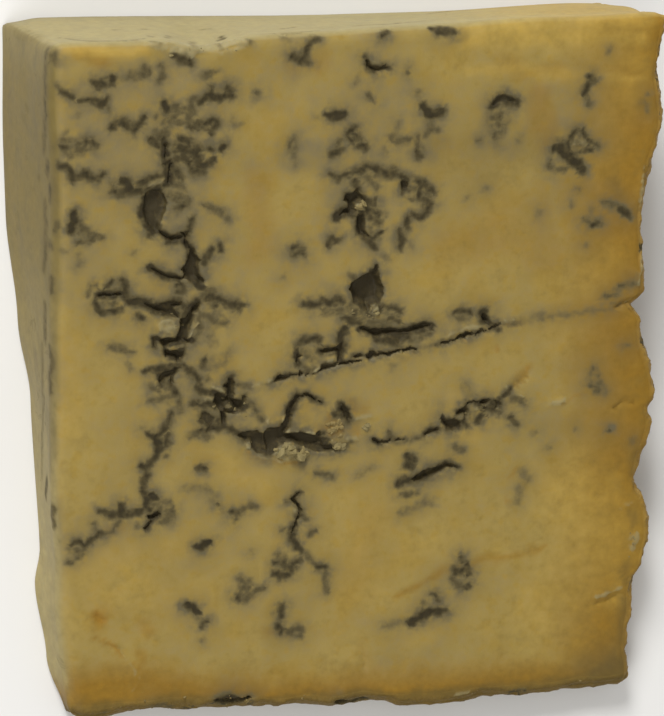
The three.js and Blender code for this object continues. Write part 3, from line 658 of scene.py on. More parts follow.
# Cracks and hollows: depth in millimetres, width and places on the drawing.
CRACKS = {
    "seam's top": (0.6, 4, (166, 144), (166, 158)),
    "seam's upper bend": (0.7, 4, (170, 164), (169, 182)),
    "left branch's shelf": (0.7, 5, (100, 295), (121, 295)),
    "long crack's start": (0.25, 1.4, (262, 386), (275, 382)),
    "long crack's first thread": (1.2, 2.6, (290, 376), (299, 374)),
    "long crack's second thread": (0.8, 2, (303, 376), (310, 374), (317, 373)),
    "long crack's third thread": (1.0, 3, (334, 366), (342, 363), (350, 362), (361, 361)),
    "long crack": (
        1.0, 3, (370, 357, 5), (373, 354, 6), (377, 356, 2.5), (385, 354, 3.6), (400, 351, 3.6),
    ),
    "long crack's fourth thread": (0.8, 2.6, (399, 351, 3), (405, 350, 3), (411, 349, 3), (417, 349, 2)),
    "long crack's fifth thread": (0.5, 1.4, (424, 348), (436, 345.5)),
    "long crack's sixth thread": (0.8, 3, (440, 344), (446, 342, 3.8), (451, 341.5), (457, 338.5)),
    "long crack's second ridge": (1.1, 3.8, (456, 339), (460, 337, 4.4), (466, 335, 4.4), (473, 333.5, 3)),
    "long crack's seventh thread": (0.7, 2.2, (473, 334), (478, 333.5), (481, 331.5, 3), (485, 331)),
    "long crack's end": (0.6, 3, (486, 330), (492, 328.5), (497, 326, 4), (502, 325)),
    "branch": (1.2, 5, (285, 430, 8), (290, 413), (293, 403), (298, 397, 4)),
    "branch's end": (0.8, 3, (299, 396), (309, 396), (321, 402)),
    "branch's pit": (0.8, 5, (343, 407, 4), (346, 413), (349, 418, 4)),
    "lower crack": (0.7, 2.6, (374, 440), (379, 443, 3.6), (390, 441), (405, 440)),
    "lower crack's thread": (1.0, 2.4, (466, 407), (470, 403), (479, 402)),
    "crease by the rind": (0.8, 4, (366, 60), (369, 66), (376, 69), (386, 68)),
    "pit by the long crack": (1.2, 7, (484, 315), (487, 322)),
    "crack towards the tip": (0.9, 4, (299, 493), (294, 499), (300, 509), (300, 516), (292, 533)),
    "pit towards the rind": (0.35, 6, (495, 104), (504, 98), (514, 102)),
    "seam's last hole": (1.5, 8, (151, 518), (157, 515)),
    "seam's last spur": (1.0, 5, (146, 528), (151, 523)),
    "tip's left hollow": (1.4, 8, (218, 701), (234, 702), (248, 698)),
    "tip's middle hollow": (1.4, 8, (336, 702), (350, 702), (364, 700)),
}

# Dents with no mould in them: depth in millimetres, width and places on the drawing.
DENTS = {
    "chip by the corner": (0.25, 10, (97, 616), (102, 621)),
    "scratch by the corner": (0.3, 3, (113, 645), (119, 648), (122, 656)),
    "step in the paste": (0.3, 3, (512, 389), (518, 383), (524, 380), (528, 372)),
    "step below the streak": (0.3, 4, (588, 606), (604, 602), (622, 593)),
    "step of the broken side": (0.3, 4, (612, 408), (624, 402), (636, 404)),
    "crease above the tip": (0.25, 4, (362, 648), (365, 664), (362, 676)),
    "crease of the broken side": (0.5, 4, (616, 308), (626, 303), (633, 299)),
}

# Hollows with a drawn rim: depth in millimetres and the rim's places on the drawing.
HOLLOWS = {
    "crescent": (
        1.1, (146, 194), (144, 205), (144, 215), (146, 222), (150, 228), (156, 233), (159, 231),
        (159, 225), (163, 219), (166, 212), (168, 203), (165, 194), (160, 190), (152, 190),
    ),
    "crescent's tail": (
        1.0, (158, 229), (164, 233), (170, 237), (176, 236), (183, 236), (183, 239), (178, 240),
        (172, 242), (165, 238), (160, 234),
    ),
    "seam's neck": (
        1.1, (180, 231), (186, 233), (189, 231), (188, 237), (187, 241), (190, 247), (194, 250),
        (189, 250), (184, 244), (185, 239),
    ),
    "seam's hole": (
        1.4, (190, 250), (194, 249), (196, 255), (201, 260), (199, 266), (200, 276), (205, 280),
        (204, 285), (200, 285), (197, 282), (190, 281), (182, 279), (184, 275), (183, 271), (181, 269),
        (185, 265), (188, 260), (189, 254),
    ),
    "seam's spur": (
        0.8, (150, 268), (155, 269), (160, 272), (166, 275), (175, 277), (184, 277), (183, 280),
        (174, 280), (166, 278), (158, 274),
    ),
    "left branch": (
        1.1, (143, 302), (150, 305), (156, 307), (162, 304), (170, 302), (182, 302), (182, 306),
        (174, 308), (176, 314), (181, 319), (175, 318), (168, 316), (162, 314), (155, 311), (148, 307),
    ),
    "seam's middle": (
        1.5, (181, 319), (186, 318), (190, 313), (192, 307), (197, 303), (200, 302), (200, 308),
        (198, 313), (194, 314), (193, 321), (191, 328), (188, 334), (186, 339), (191, 341), (190, 344),
        (184, 344), (176, 343), (170, 345), (167, 349), (163, 347), (161, 343), (161, 339), (168, 338),
        (176, 338), (179, 333), (180, 326),
    ),
    "seam's shelf": (
        0.5, (153, 337), (157, 336), (162, 339), (162, 343), (158, 342), (157, 347), (154, 346),
    ),
    "seam's heel": (
        1.3, (165, 349), (170, 351), (177, 350), (184, 352), (184, 357), (180, 362), (177, 363),
        (175, 359), (170, 358), (165, 359),
    ),
    "seam's fork": (
        1.0, (180, 367), (175, 368), (172, 371), (163, 373), (160, 377), (159, 383), (162, 385),
        (166, 380), (171, 378), (171, 384), (175, 384), (174, 378), (176, 374),
    ),
    "teardrop": (
        1.9, (376, 264), (379, 267), (379, 273), (381, 280), (384, 287), (384, 294), (382, 301),
        (380, 305), (377, 304), (371, 306), (370, 311), (367, 311), (364, 306), (360, 303), (355, 302),
        (353, 298), (351, 292), (349, 289), (352, 284), (357, 279), (363, 276), (368, 273), (373, 272),
        (375, 269),
    ),
    "flat vein": (
        1.3, (359, 328), (365, 327), (372, 329), (390, 328), (400, 329), (410, 328), (417, 325),
        (424, 323), (432, 324), (430, 328), (420, 331), (410, 333), (400, 334), (384, 335), (379, 339),
        (374, 338), (368, 333), (362, 331),
    ),
    "shelf of the flat vein": (
        0.4, (384, 335), (400, 334), (410, 333), (404, 339), (400, 343), (394, 338),
    ),
    "long crack's wedge": (
        1.5, (274, 382), (277, 377), (280, 375), (286, 376), (292, 375), (290, 378), (286, 380),
        (281, 382),
    ),
    "long crack's knot": (1.4, (299, 373), (301, 371), (304, 375), (302, 377), (299, 377)),
    "long crack's ridge": (
        1.6, (316, 373), (320, 370), (323, 366), (328, 365), (334, 365), (338, 361), (337, 367),
        (329, 369), (323, 371),
    ),
    "long crack's bend": (1.3, (353, 357), (357, 355), (362, 354), (363, 357), (355, 359)),
    "edge of the lower ring": (
        1.1, (320, 351), (326, 349), (334, 348), (340, 345), (343, 341), (343, 352), (341, 362),
        (337, 361), (338, 353), (334, 352), (328, 354), (323, 354),
    ),
    "foot of the lower ring": (
        0.7, (297, 355), (303, 355), (302, 358), (299, 359), (299, 364), (296, 362),
    ),
    "join": (
        1.4, (229, 378), (233, 380), (236, 383), (234, 388), (235, 395), (234, 399), (242, 401),
        (243, 396), (246, 396), (245, 403), (244, 409), (241, 413), (235, 411), (233, 406), (228, 402),
        (225, 404), (225, 409), (221, 411), (216, 407), (214, 402), (215, 394), (219, 393), (225, 398),
        (228, 395), (228, 390), (223, 387), (228, 383),
    ),
    "join's foot": (1.0, (220, 411), (224, 412), (227, 419), (226, 425), (223, 425), (221, 419)),
    "floor of the join": (0.8, (224, 409), (233, 408), (242, 412), (236, 415), (226, 414)),
    "mottled pit": (
        0.35, (200, 420), (203, 414), (210, 414), (215, 419), (213, 426), (215, 431), (206, 432),
        (210, 426), (205, 422),
    ),
    "upper hollow": (
        1.1, (238, 436), (243, 432), (250, 431), (258, 431), (264, 434), (266, 444), (268, 454),
        (263, 455), (256, 453), (252, 448), (250, 441), (246, 442), (242, 440),
    ),
    "hollow": (
        1.4, (263, 434), (266, 430), (270, 428), (281, 427), (284, 423), (286, 418), (288, 411),
        (290, 406), (293, 408), (291, 418), (289, 427), (286, 433), (291, 432), (301, 432), (311, 434),
        (319, 436), (323, 444), (312, 449), (306, 448), (301, 446), (296, 443), (291, 440), (286, 441),
        (280, 443), (275, 448), (271, 453), (268, 455), (266, 450), (264, 443),
    ),
    "hollow's end": (
        0.9, (316, 440), (324, 446), (332, 446), (335, 448), (344, 448), (336, 451), (320, 453),
        (308, 449),
    ),
    "dent by the hollow": (0.8, (316, 432), (320, 431), (322, 436), (319, 439), (316, 437)),
    "lower crack's start": (0.5, (372, 439), (376, 439), (380, 442), (378, 444), (373, 442)),
    "lower crack's bar": (0.8, (424, 434), (430, 430), (440, 428), (439, 431), (432, 434), (426, 436)),
    "lower crack's pit": (
        1.1, (441, 417), (446, 421), (455, 419), (461, 422), (461, 428), (454, 432), (447, 429),
        (444, 424),
    ),
    "upper pit": (1.1, (456, 413), (461, 409), (466, 406), (468, 410), (466, 419), (464, 414), (459, 415)),
    "lower crack's end": (1.1, (480, 403), (484, 399), (490, 399), (489, 404), (484, 405)),
    "pit by the lower crack": (
        0.5, (494, 400), (500, 402), (503, 405), (498, 409), (495, 409), (497, 405),
    ),
    "lens": (
        1.4, (411, 480), (417, 475), (424, 470), (432, 468), (440, 466), (446, 463), (452, 464),
        (458, 468), (447, 468), (441, 472), (434, 476), (428, 479), (421, 482), (415, 482),
    ),
    "pit of the ring": (
        1.3, (343, 201), (347, 195), (353, 193), (357, 188), (362, 195), (366, 201), (358, 202),
        (355, 205), (356, 211), (352, 215), (345, 214), (340, 216), (343, 211), (348, 208), (349, 204),
    ),
    "lower pit of the ring": (
        1.3, (358, 216), (363, 215), (366, 219), (366, 232), (373, 239), (366, 238), (360, 235),
        (357, 228),
    ),
    "corner of the ring": (0.7, (402, 182), (408, 182), (409, 187), (406, 191), (402, 190)),
}

# Pale flakes with a drawn edge: height in millimetres and the edge's places on the drawing.
FLAKES = {
    "flake by the crescent": (0.1, (145, 188), (152, 183), (160, 181), (167, 178), (161, 184), (152, 187)),
    "lump in the seam": (
        0.13, (158, 331), (157, 324), (162, 319), (170, 318), (177, 321), (179, 327), (177, 333),
        (172, 337), (164, 337),
    ),
    "sliver in the seam": (0.18, (198, 321), (200, 323), (195, 330), (190, 338), (187, 339), (191, 331)),
    "bar in the heel": (0.12, (168, 348), (174, 345), (184, 345), (184, 348), (177, 349), (170, 350)),
    "flake at the join": (0.12, (205, 386), (214, 385), (222, 387), (226, 391), (224, 394), (214, 389)),
    "flake below the join": (0.15, (202, 400), (209, 396), (215, 397), (213, 402), (206, 403)),
    "crumb in the join": (0.12, (225, 406), (228, 404), (232, 406), (230, 409), (226, 409)),
    "flake past the join": (0.12, (245, 408), (249, 410), (256, 412), (256, 417), (249, 416)),
    "crumbs in the hollow": (
        0.18, (271, 455), (276, 449), (281, 445), (287, 442), (292, 442), (296, 446), (299, 453),
        (300, 461), (293, 462), (285, 461), (278, 459),
    ),
    "next crumb in the hollow": (
        0.12, (300, 451), (303, 448), (308, 449), (310, 454), (306, 458), (301, 456),
    ),
    "flake over the hollow": (
        0.18, (284, 434), (287, 430), (292, 428), (298, 430), (300, 433), (290, 434),
    ),
    "flake at the branch": (0.18, (281, 421), (283, 415), (286, 414), (285, 420), (282, 424)),
    "flake above the hollow": (0.18, (265, 420), (270, 418), (275, 423), (272, 426), (267, 424)),
    "flake right of the hollow": (0.18, (303, 433), (311, 430), (319, 429), (316, 435), (311, 435)),
    "flake at the hollow's mouth": (0.18, (245, 443), (250, 441), (252, 446), (250, 450), (246, 449)),
    "crumb in the teardrop": (
        0.18, (368, 313), (373, 309), (377, 305), (379, 308), (379, 313), (375, 317),
    ),
    "crumb in the ring": (0.24, (355, 204), (359, 203), (364, 206), (367, 210), (361, 210), (356, 208)),
    "crumb in the lower ring": (0.12, (326, 362), (329, 357), (335, 355), (336, 359), (332, 363)),
    "flake of the long crack": (0.18, (311, 373), (316, 368), (320, 364), (321, 368), (317, 373)),
    "crumb of the crumbled patch": (0.18, (363, 428), (367, 423), (372, 424), (371, 429), (366, 431)),
    "flake of the crumbled patch": (0.15, (330, 441), (336, 440), (340, 445), (336, 450), (332, 446)),
}

# Pale lips that stand proud: height in millimetres, width and places on the drawing.
LIPS = {
    "ledge of the rind": (0.4, 12, (153, 45), (170, 48), (190, 50), (214, 47), (246, 42)),
    "fold of the ledge": (0.3, 4, (189, 59), (196, 56), (200, 49)),
    "rim of the ledge": (0.15, 3, (202, 51), (216, 53), (236, 50), (249, 46)),
    "flake at the seam's top": (0.25, 4, (161, 164), (168, 159)),
    "flake at the seam's bend": (0.25, 4, (185, 165), (191, 160)),
    "crumb above the hole": (0.2, 4, (207, 222), (209, 223)),
    "rim of the hollow": (0.15, 3, (249, 455), (262, 457), (284, 461)),
    "flakes of the crumbled patch": (0.25, 6, (357, 418), (369, 416)),
    "foot of the crumbled patch": (0.25, 7, (347, 440), (360, 436)),
    "long crack's first lip": (0.15, 3, (250, 387), (262, 383), (273, 380)),
    "long crack's lip": (0.2, 5, (446, 337), (458, 331), (468, 328), (481, 326)),
    "long crack's far lip": (0.2, 4, (505, 321), (512, 319), (520, 318)),
    "flake by the lower pit": (0.25, 5, (476, 409), (483, 406)),
    "flake between the pits": (0.25, 4, (457, 418), (462, 418)),
    "speck under the crack": (0.2, 5, (463, 438), (467, 436)),
    "flake at the thread": (0.2, 4, (503, 389), (507, 387)),
    "flake past the thread": (0.2, 5, (515, 394), (523, 396)),
    "flake of the broken side": (0.3, 8, (551, 404), (563, 400)),
    "lip by the rind": (0.25, 4, (373, 62), (380, 65)),
    "lip in the cluster": (0.25, 7, (573, 142), (586, 143)),
    "white speck": (0.12, 4, (244, 212), (246, 213)),
    "speck towards the tip": (0.2, 4, (294, 510), (297, 512)),
    "streak by the broken side": (0.2, 4.5, (594, 598), (606, 594), (622, 586)),
    "white chips": (0.16, 15, (631, 538), (632, 548)),
    "outer white chips": (0.2, 8, (637, 532), (637, 540)),
    "upper white chips": (0.3, 4, (643, 168), (642, 190), (640, 206)),
    "middle white chips": (0.3, 4, (640, 256), (641, 270), (638, 284)),
    "chips by the indent": (0.2, 4, (627, 302), (631, 299)),
    "pale flake": (0.12, 12, (623, 507), (631, 503)),
    "chips at the tip": (0.2, 5, (455, 694), (468, 692)),
    "fold by the corner": (0.12, 3, (115, 643), (124, 656), (136, 672), (139, 682), (131, 692)),
}

# Soft stains of the paste, with painted light and shade along its edges among the bright and brown ones:
# strength, width and places on the drawing.
GREY_STAINS = [
    (0.95, 110, (95, 110), (140, 120), (110, 170)), (0.9, 70, (190, 60), (190, 150), (190, 230)),
    (0.6, 90, (100, 200), (95, 290)), (0.9, 50, (190, 240), (185, 330), (190, 400)),
    (0.5, 40, (215, 230), (225, 300)), (0.7, 70, (365, 60), (370, 130), (375, 230)),
    (0.6, 50, (300, 110), (302, 150)), (0.6, 44, (310, 270), (350, 310), (420, 320)),
    (0.5, 40, (300, 340), (330, 350)), (0.5, 44, (215, 380), (240, 420), (290, 430)),
    (0.5, 40, (330, 420), (420, 430)), (0.4, 44, (440, 420), (500, 412), (540, 420)),
    (0.6, 36, (410, 470), (430, 490), (418, 510)), (0.45, 36, (520, 440), (524, 490)),
    (0.5, 40, (80, 545), (120, 515), (160, 505)), (0.4, 40, (200, 470), (230, 510)),
    (0.4, 40, (300, 500), (300, 570)), (0.5, 30, (190, 610), (205, 635)),
    (0.5, 30, (275, 620), (300, 635)), (0.6, 40, (460, 570), (440, 600), (415, 620)),
    (0.8, 36, (497, 100), (496, 140)), (0.75, 44, (565, 150), (590, 150)),
    (0.6, 40, (595, 205), (605, 225)), (0.5, 26, (538, 212), (542, 216)), (0.5, 26, (586, 90), (590, 110)),
    (0.4, 40, (440, 330), (500, 318)), (0.6, 30, (595, 372), (602, 388)),
    (0.4, 34, (616, 176), (608, 208)), (0.5, 40, (540, 400), (552, 440)),
    (0.4, 24, (516, 474), (522, 498)), (0.4, 30, (608, 430), (630, 446)), (0.3, 60, (256, 62), (258, 90)),
    (0.25, 90, (262, 110), (262, 240), (262, 340)), (0.25, 60, (330, 392), (430, 388)),
    (0.3, 40, (536, 104), (552, 130)), (0.45, 40, (560, 180), (590, 190)),
    (0.35, 24, (66, 84), (70, 200), (66, 280)), (0.25, 60, (440, 180), (470, 240)),
    (0.2, 60, (560, 340), (566, 400)), (0.95, 44, (372, 196), (388, 216), (380, 236)),
    (0.6, 40, (60, 140), (80, 150)), (0.9, 60, (180, 90), (186, 130), (180, 180)),
    (0.5, 60, (260, 110), (262, 200)), (0.5, 50, (66, 186), (110, 204)), (0.6, 40, (206, 176), (210, 220)),
    (0.7, 50, (334, 146), (338, 196)), (0.6, 44, (414, 96), (424, 140)), (0.5, 30, (210, 320), (214, 346)),
    (0.4, 50, (500, 110), (540, 120)), (1.4, 44, (284, 150), (334, 158)),
    (1.0, 50, (374, 156), (424, 152)), (1.5, 44, (190, 64), (204, 112)), (0.5, 40, (278, 62), (292, 70)),
    (1.1, 44, (60, 200), (160, 206)), (0.45, 44, (236, 108), (250, 116)), (0.4, 40, (60, 286), (70, 296)),
    (0.4, 40, (104, 246), (120, 240)), (0.9, 40, (332, 236), (374, 246)), (0.3, 30, (60, 586), (72, 604)),
    (1.4, 40, (196, 322), (200, 344)), (0.8, 40, (412, 104), (424, 112)),
    (0.7, 40, (500, 110), (560, 112), (590, 108)),
]
AMBER_STAINS = [
    (0.7, 22, (80, 56), (104, 62)), (0.35, 26, (295, 62), (325, 58)), (0.35, 44, (255, 180), (262, 250)),
    (0.35, 70, (450, 250), (500, 230), (560, 260)), (0.4, 24, (500, 62), (570, 74)),
    (0.3, 40, (540, 190), (550, 240)), (0.3, 22, (362, 640), (364, 672)),
    (0.55, 18, (145, 624), (148, 632)), (0.6, 18, (136, 655), (140, 668)), (0.5, 14, (316, 60), (318, 68)),
    (0.4, 14, (110, 533), (118, 527)), (0.9, 18, (326, 432), (338, 424)),
    (0.6, 12, (352, 408), (358, 412)), (0.8, 5, (57, 494), (57, 508)), (0.5, 12, (268, 634), (308, 631)),
    (0.7, 6, (400, 592), (425, 580), (447, 571), (475, 565), (500, 557), (527, 550), (547, 544)),
    (0.25, 60, (350, 590), (370, 520)), (0.5, 6, (512, 385), (522, 375), (530, 370)),
    (0.4, 16, (330, 425), (355, 430)), (0.5, 40, (540, 96), (548, 140)), (0.6, 14, (90, 697), (210, 695)),
    (0.6, 24, (104, 610), (98, 624)), (0.6, 20, (142, 622), (148, 632)), (0.6, 40, (362, 682), (392, 680)),
]
# Mostly painted shade along the broken side, the tip and the lower corner, and one darker patch below the
# rind.
BROWN_PATCHES_AND_EDGE_SHADE = [
    (0.35, 16, (450, 695), (545, 688), (590, 680)), (0.8, 34, (596, 676), (614, 668), (618, 676)),
    (0.5, 84, (590, 676), (620, 660)), (0.3, 60, (436, 152), (480, 158), (530, 150)),
    (0.5, 14, (622, 600), (620, 650)), (0.35, 14, (612, 180), (620, 196)), (0.35, 14, (645, 104)),
    (0.4, 12, (632, 512), (634, 520)), (0.4, 10, (626, 566), (626, 580)),
    (0.35, 10, (633, 442), (634, 470)),
]
# Paler patches, and along the upper edge by the rind a painted highlight where that edge meets the light.
BRIGHT_PATCHES_AND_EDGE_LIGHT = [
    (0.75, 11, (66, 49), (100, 51), (146, 52)), (0.45, 20, (440, 26), (500, 26), (560, 24)),
    (0.5, 26, (580, 22), (620, 20), (648, 22)), (0.3, 40, (600, 50), (640, 60)),
    (0.45, 10, (470, 70), (510, 68), (545, 73), (600, 78), (644, 79)), (0.3, 60, (585, 540), (600, 560)),
    (0.25, 50, (640, 70), (632, 90)), (0.2, 120, (90, 600), (180, 600)),
    (0.2, 110, (370, 500), (360, 590)), (0.35, 36, (68, 350), (72, 430)),
    (0.3, 50, (220, 466), (262, 480)), (0.3, 60, (84, 572), (124, 556)), (0.2, 60, (560, 330), (610, 260)),
    (0.6, 26, (470, 40), (560, 34), (640, 38)), (0.35, 100, (540, 610), (600, 540), (560, 480)),
    (0.3, 30, (612, 480), (616, 600)), (0.35, 34, (456, 400), (470, 436)),
    (0.25, 30, (276, 412), (336, 408)), (0.2, 50, (150, 552), (206, 548)),
    (0.15, 60, (380, 548), (500, 552)), (0.2, 30, (410, 640), (426, 636)),
]
ORANGE_SPECKS = [
    (1.0, 17, (96, 615), (102, 621)), (0.9, 4, (120, 591)),
    (0.7, 3.5, (93, 638), (106, 642), (115, 646), (121, 655)), (0.6, 4, (135, 662), (140, 670)),
    (0.7, 5, (495, 347), (498, 351)), (0.6, 5, (351, 411), (355, 411)), (0.7, 7, (357, 428), (358, 434)),
    (0.6, 6, (527, 369)), (0.6, 4, (527, 374), (522, 381), (514, 386)),
    (0.5, 3, (565, 402), (575, 396), (585, 393)), (0.6, 5, (506, 499), (509, 502)),
    (0.5, 3, (366, 358), (372, 358)), (0.5, 3, (500, 328), (515, 324)), (0.5, 3, (519, 16), (521, 16)),
    (0.5, 3.5, (515, 466), (517, 467)), (0.4, 3.5, (256, 505), (258, 507)),
    (0.5, 3, (520, 376), (526, 372)), (0.5, 4, (262, 457), (278, 461)), (0.5, 5, (515, 468), (511, 480)),
    (0.7, 5, (248, 452), (256, 457), (265, 460)), (0.6, 4, (270, 459), (283, 463), (298, 463)),
    (0.8, 7, (330, 416), (334, 424), (327, 432)), (0.6, 3, (407, 352), (417, 352)),
    (0.6, 3, (462, 341), (474, 337)), (0.7, 3, (502, 327), (512, 324), (521, 322)),
]

WALL_SLOPE = 2.0  # how steeply a hollow's wall falls from its rim
RIM_DEPTH = 0.3  # the small step at a hollow's rim
RIM_STEP = (-0.1, 0.12)  # where that step lies, from outside the rim to inside
CRACK_STEP = (0.72, 1.12)  # where a crack's wall lies, as shares of its half width
END_WIDTH = 0.6  # a stroke's width at its ends, as a share of its full width
DRAWN_PER_MM = LENS / SENSOR * max(DRAWING) / VIEW_DISTANCE
TINY = 1e-9

# Ragged edges: the size of their bends and how far they reach, in millimetres.
VEIN_EDGE = (1.7, 0.36)
SMUDGE_EDGE = (3.0, 0.5)
HALO_EDGE = (2.5, 0.6)
LIP_EDGE = (1.2, 0.32)
FLAKE_EDGE = (1.0, 0.16)
HOLLOW_EDGE = (0.9, 0.14)
CRACK_EDGE = (1.2, 0.28)

HALO_FALL = 1.3  # how far a halo reaches into the paste, in millimetres
VEIN_SWELL_SIZE = 1.6
VEIN_WIDEST = 0.6  # the half width up to which a vein's fringe grows
FLAKE_RIM = (-0.12, 0.15)
FLAKE_SLOPE = (-0.12, 0.3)
FLAKE_FULL = 0.2  # the height from which a lip or flake is quite pale
FLAKE_OVER_HOLLOW, FLAKE_OVER_MOULD = 0.9, 0.85  # how much a flake hides of what is under it
EDGE_REACH = 0.5  # how far past its edge a hollow or crack is looked for

# How a drawn mark fades: its core as a share of its half width, its fringe in millimetres, and how
# much the fringe grows with the half width.
VEIN_FADE = (0.28, 0.42, 0.8)
SMUDGE_FADE = (0.5, 0.4, 0.35)
SMUDGE_PATCH = (0.5, 0.3, 0.3)
LIP_FADE = (0.5, 0.12, 0.3)
DENT_FADE = (0.4, 0.05, 0.5)

# Each stain's strokes, its ragged edge and how it fades; the bright and brown ones are partly painted
# light and shade.
STAINS_AND_PAINTED_LIGHT = {
    "greyness": (GREY_STAINS, (7.0, 2.2), (0.4, 0.5, 0.75)),
    "amber": (AMBER_STAINS, (5.0, 1.2), (0.2, 0.3, 0.8)),
    "orange": (ORANGE_SPECKS, (1.0, 0.2), (0.4, 0.12, 0.5)),
    "brown": (BROWN_PATCHES_AND_EDGE_SHADE, (3.0, 0.8), (0.4, 0.3, 0.8)),
    "bright": (BRIGHT_PATCHES_AND_EDGE_LIGHT, (4.0, 0.6), (0.2, 0.3, 0.9)),
}


def skin_near(skin, points, reach):
    """The numbers of the skin's points in a box round some points."""
    low = points.min(0) - reach
    high = points.max(0) + reach
    return np.nonzero(np.all((skin > low) & (skin < high), axis=1))[0]


class Stroke:
    """One vein, crack or stain, laid on the cheese."""

    def __init__(self, strength, width, *places):
        self.strength = strength
        places = places * 2 if len(places) == 1 else places
        self.points = np.array([landing(*place[:2]) for place in places])
        widths = np.full(len(places), float(width))
        widths[[0, -1]] *= END_WIDTH
        for i, place in enumerate(places):
            if len(place) == 3:
                widths[i] = place[2]
        self.halves = widths / DRAWN_PER_MM / 2

    def nearness(self, skin, reach):
        """Which of the skin is within reach, how far it is and the stroke's half width there."""
        near = skin_near(skin, self.points, reach + self.halves.max())
        best = np.full(len(near), np.inf)
        half_there = np.ones(len(near))
        spots = skin[near]
        for start, end, first, last in zip(
            self.points, self.points[1:], self.halves, self.halves[1:]
        ):
            step = end - start
            share = np.clip((spots - start) @ step / max(step @ step, TINY), 0, 1)
            away = np.linalg.norm(spots - start - share[:, None] * step, axis=1)
            half = first + (last - first) * share
            closer = away / half < best / half_there
            best = np.where(closer, away, best)
            half_there = np.where(closer, half, half_there)
        return near, best, half_there


class Outline:
    """A closed line, laid on the cheese's upper face."""

    def __init__(self, strength, *places):
        self.strength = strength
        self.points = np.array([landing(*place) for place in places])

    def depth_inside(self, skin, reach):
        """Which of the skin is within reach, and how far inside the line it is; outside is negative."""
        near = skin_near(skin, self.points, reach)
        spots = skin[near, :2]
        away = np.full(len(near), np.inf)
        within = np.zeros(len(near), bool)
        corners = self.points[:, :2]
        for start, end in zip(corners, np.roll(corners, -1, 0)):
            step = end - start
            share = np.clip((spots - start) @ step / (step @ step), 0, 1)
            away = np.minimum(away, np.linalg.norm(spots - start - share[:, None] * step, axis=1))
            level = (spots[:, 1] - start[1]) / (step[1] or TINY)
            crossed = (start[1] > spots[:, 1]) != (end[1] > spots[:, 1])
            within ^= crossed & (spots[:, 0] < start[0] + step[0] * level)
        return near, np.where(within, away, -away)


def strokes_of(rows):
    return [Stroke(*row) for row in rows]


def outlines_of(rows):
    return [Outline(*row) for row in rows]


veins = strokes_of(row for group in VEINS.values() for row in group)
smudges = strokes_of(row for group in SMUDGES.values() for row in group)
cracks = strokes_of(CRACKS.values())
dents = strokes_of(DENTS.values())
lips = strokes_of(LIPS.values())
hollows = outlines_of(HOLLOWS.values())
flakes = outlines_of(FLAKES.values())

warp_lumps = [Lumps(11), Lumps(12), Lumps(13)]
swell_lumps = Lumps(14)


def warped(skin, size, reach):
    """Moves points a little about, so that what is drawn by them gets a ragged edge."""
    shift = np.stack([layered(lumps, skin, size, 2) for lumps in warp_lumps], 1)
    return skin + reach * shift


def drawn(skin, strokes, core, fringe_fixed, fringe_share, swell=None, widest=math.inf):
    """The strongest stroke at each point: full inside its core and fading over its fringe.

    The fringe grows with the stroke's half width, up to the widest one given.
    """
    field = np.zeros(len(skin))
    for stroke in strokes:
        reach = 3 * (fringe_fixed + fringe_share * min(stroke.halves.max(), widest))
        near, away, half = stroke.nearness(skin, reach)
        if swell is not None:
            half = half * swell[near]
        outside = np.maximum(away - core * half, 0)
        fringe = fringe_fixed + fringe_share * np.minimum(half, widest)
        value = stroke.strength * np.exp(-(outside / fringe) ** 2)
        field[near] = np.maximum(field[near], value)
    return field


def hazed(skin, strokes, outlines, fall):
    """A haze that fades with the distance from the nearest stroke or outline."""
    field = np.zeros(len(skin))
    for stroke in strokes:
        near, away, half = stroke.nearness(skin, 4 * fall)
        value = min(stroke.strength, 1) ** 0.7 * np.exp(-np.maximum(away - half, 0) / fall)
        field[near] = np.maximum(field[near], value)
    for outline in outlines:
        near, inside = outline.depth_inside(skin, 4 * fall)
        field[near] = np.maximum(field[near], np.exp(-np.maximum(-inside, 0) / fall))
    return field


def raised(skin, outlines, outer, inner):
    """The strongest outline at each point: nothing outside it and full within."""
    field = np.zeros(len(skin))
    for outline in outlines:
        near, inside = outline.depth_inside(skin, 1.0)
        field[near] = np.maximum(field[near], outline.strength * ramp(outer, inner, inside))
    return field


def mould_field(skin):
    swell = np.clip(1.0 + 0.6 * layered(swell_lumps, skin, VEIN_SWELL_SIZE, 2), 0.4, 2)
    return drawn(warped(skin, *VEIN_EDGE), veins, *VEIN_FADE, swell, VEIN_WIDEST)


def flake_cover(skin):
    """How far flakes cover the skin, from 0 to 1."""
    return np.clip(raised(skin, flakes, *FLAKE_RIM) / FLAKE_FULL, 0, 1)


def lip_field(skin):
    """How high pale lips and flakes stand, in millimetres."""
    stroked = drawn(warped(skin, *LIP_EDGE), lips, *LIP_FADE)
    return np.maximum(stroked, raised(warped(skin, *FLAKE_EDGE), flakes, *FLAKE_SLOPE))


def hollow_field(skin):
    """How deep hollows and cracks are, in millimetres."""
    field = np.zeros(len(skin))
    spots = warped(skin, *HOLLOW_EDGE)
    for hollow in hollows:
        near, inside = hollow.depth_inside(spots, EDGE_REACH)
        value = RIM_DEPTH * ramp(*RIM_STEP, inside) + WALL_SLOPE * np.maximum(inside, 0)
        field[near] = np.maximum(field[near], np.minimum(value, hollow.strength))
    spots = warped(skin, *CRACK_EDGE)
    for crack in cracks:
        near, away, half = crack.nearness(spots, EDGE_REACH)
        deepest = np.minimum(crack.strength, RIM_DEPTH + WALL_SLOPE * half)
        field[near] = np.maximum(field[near], deepest * (1 - ramp(*CRACK_STEP, away / half)))
    return field * (1 - FLAKE_OVER_HOLLOW * flake_cover(skin))


# -------- the cheese's mesh

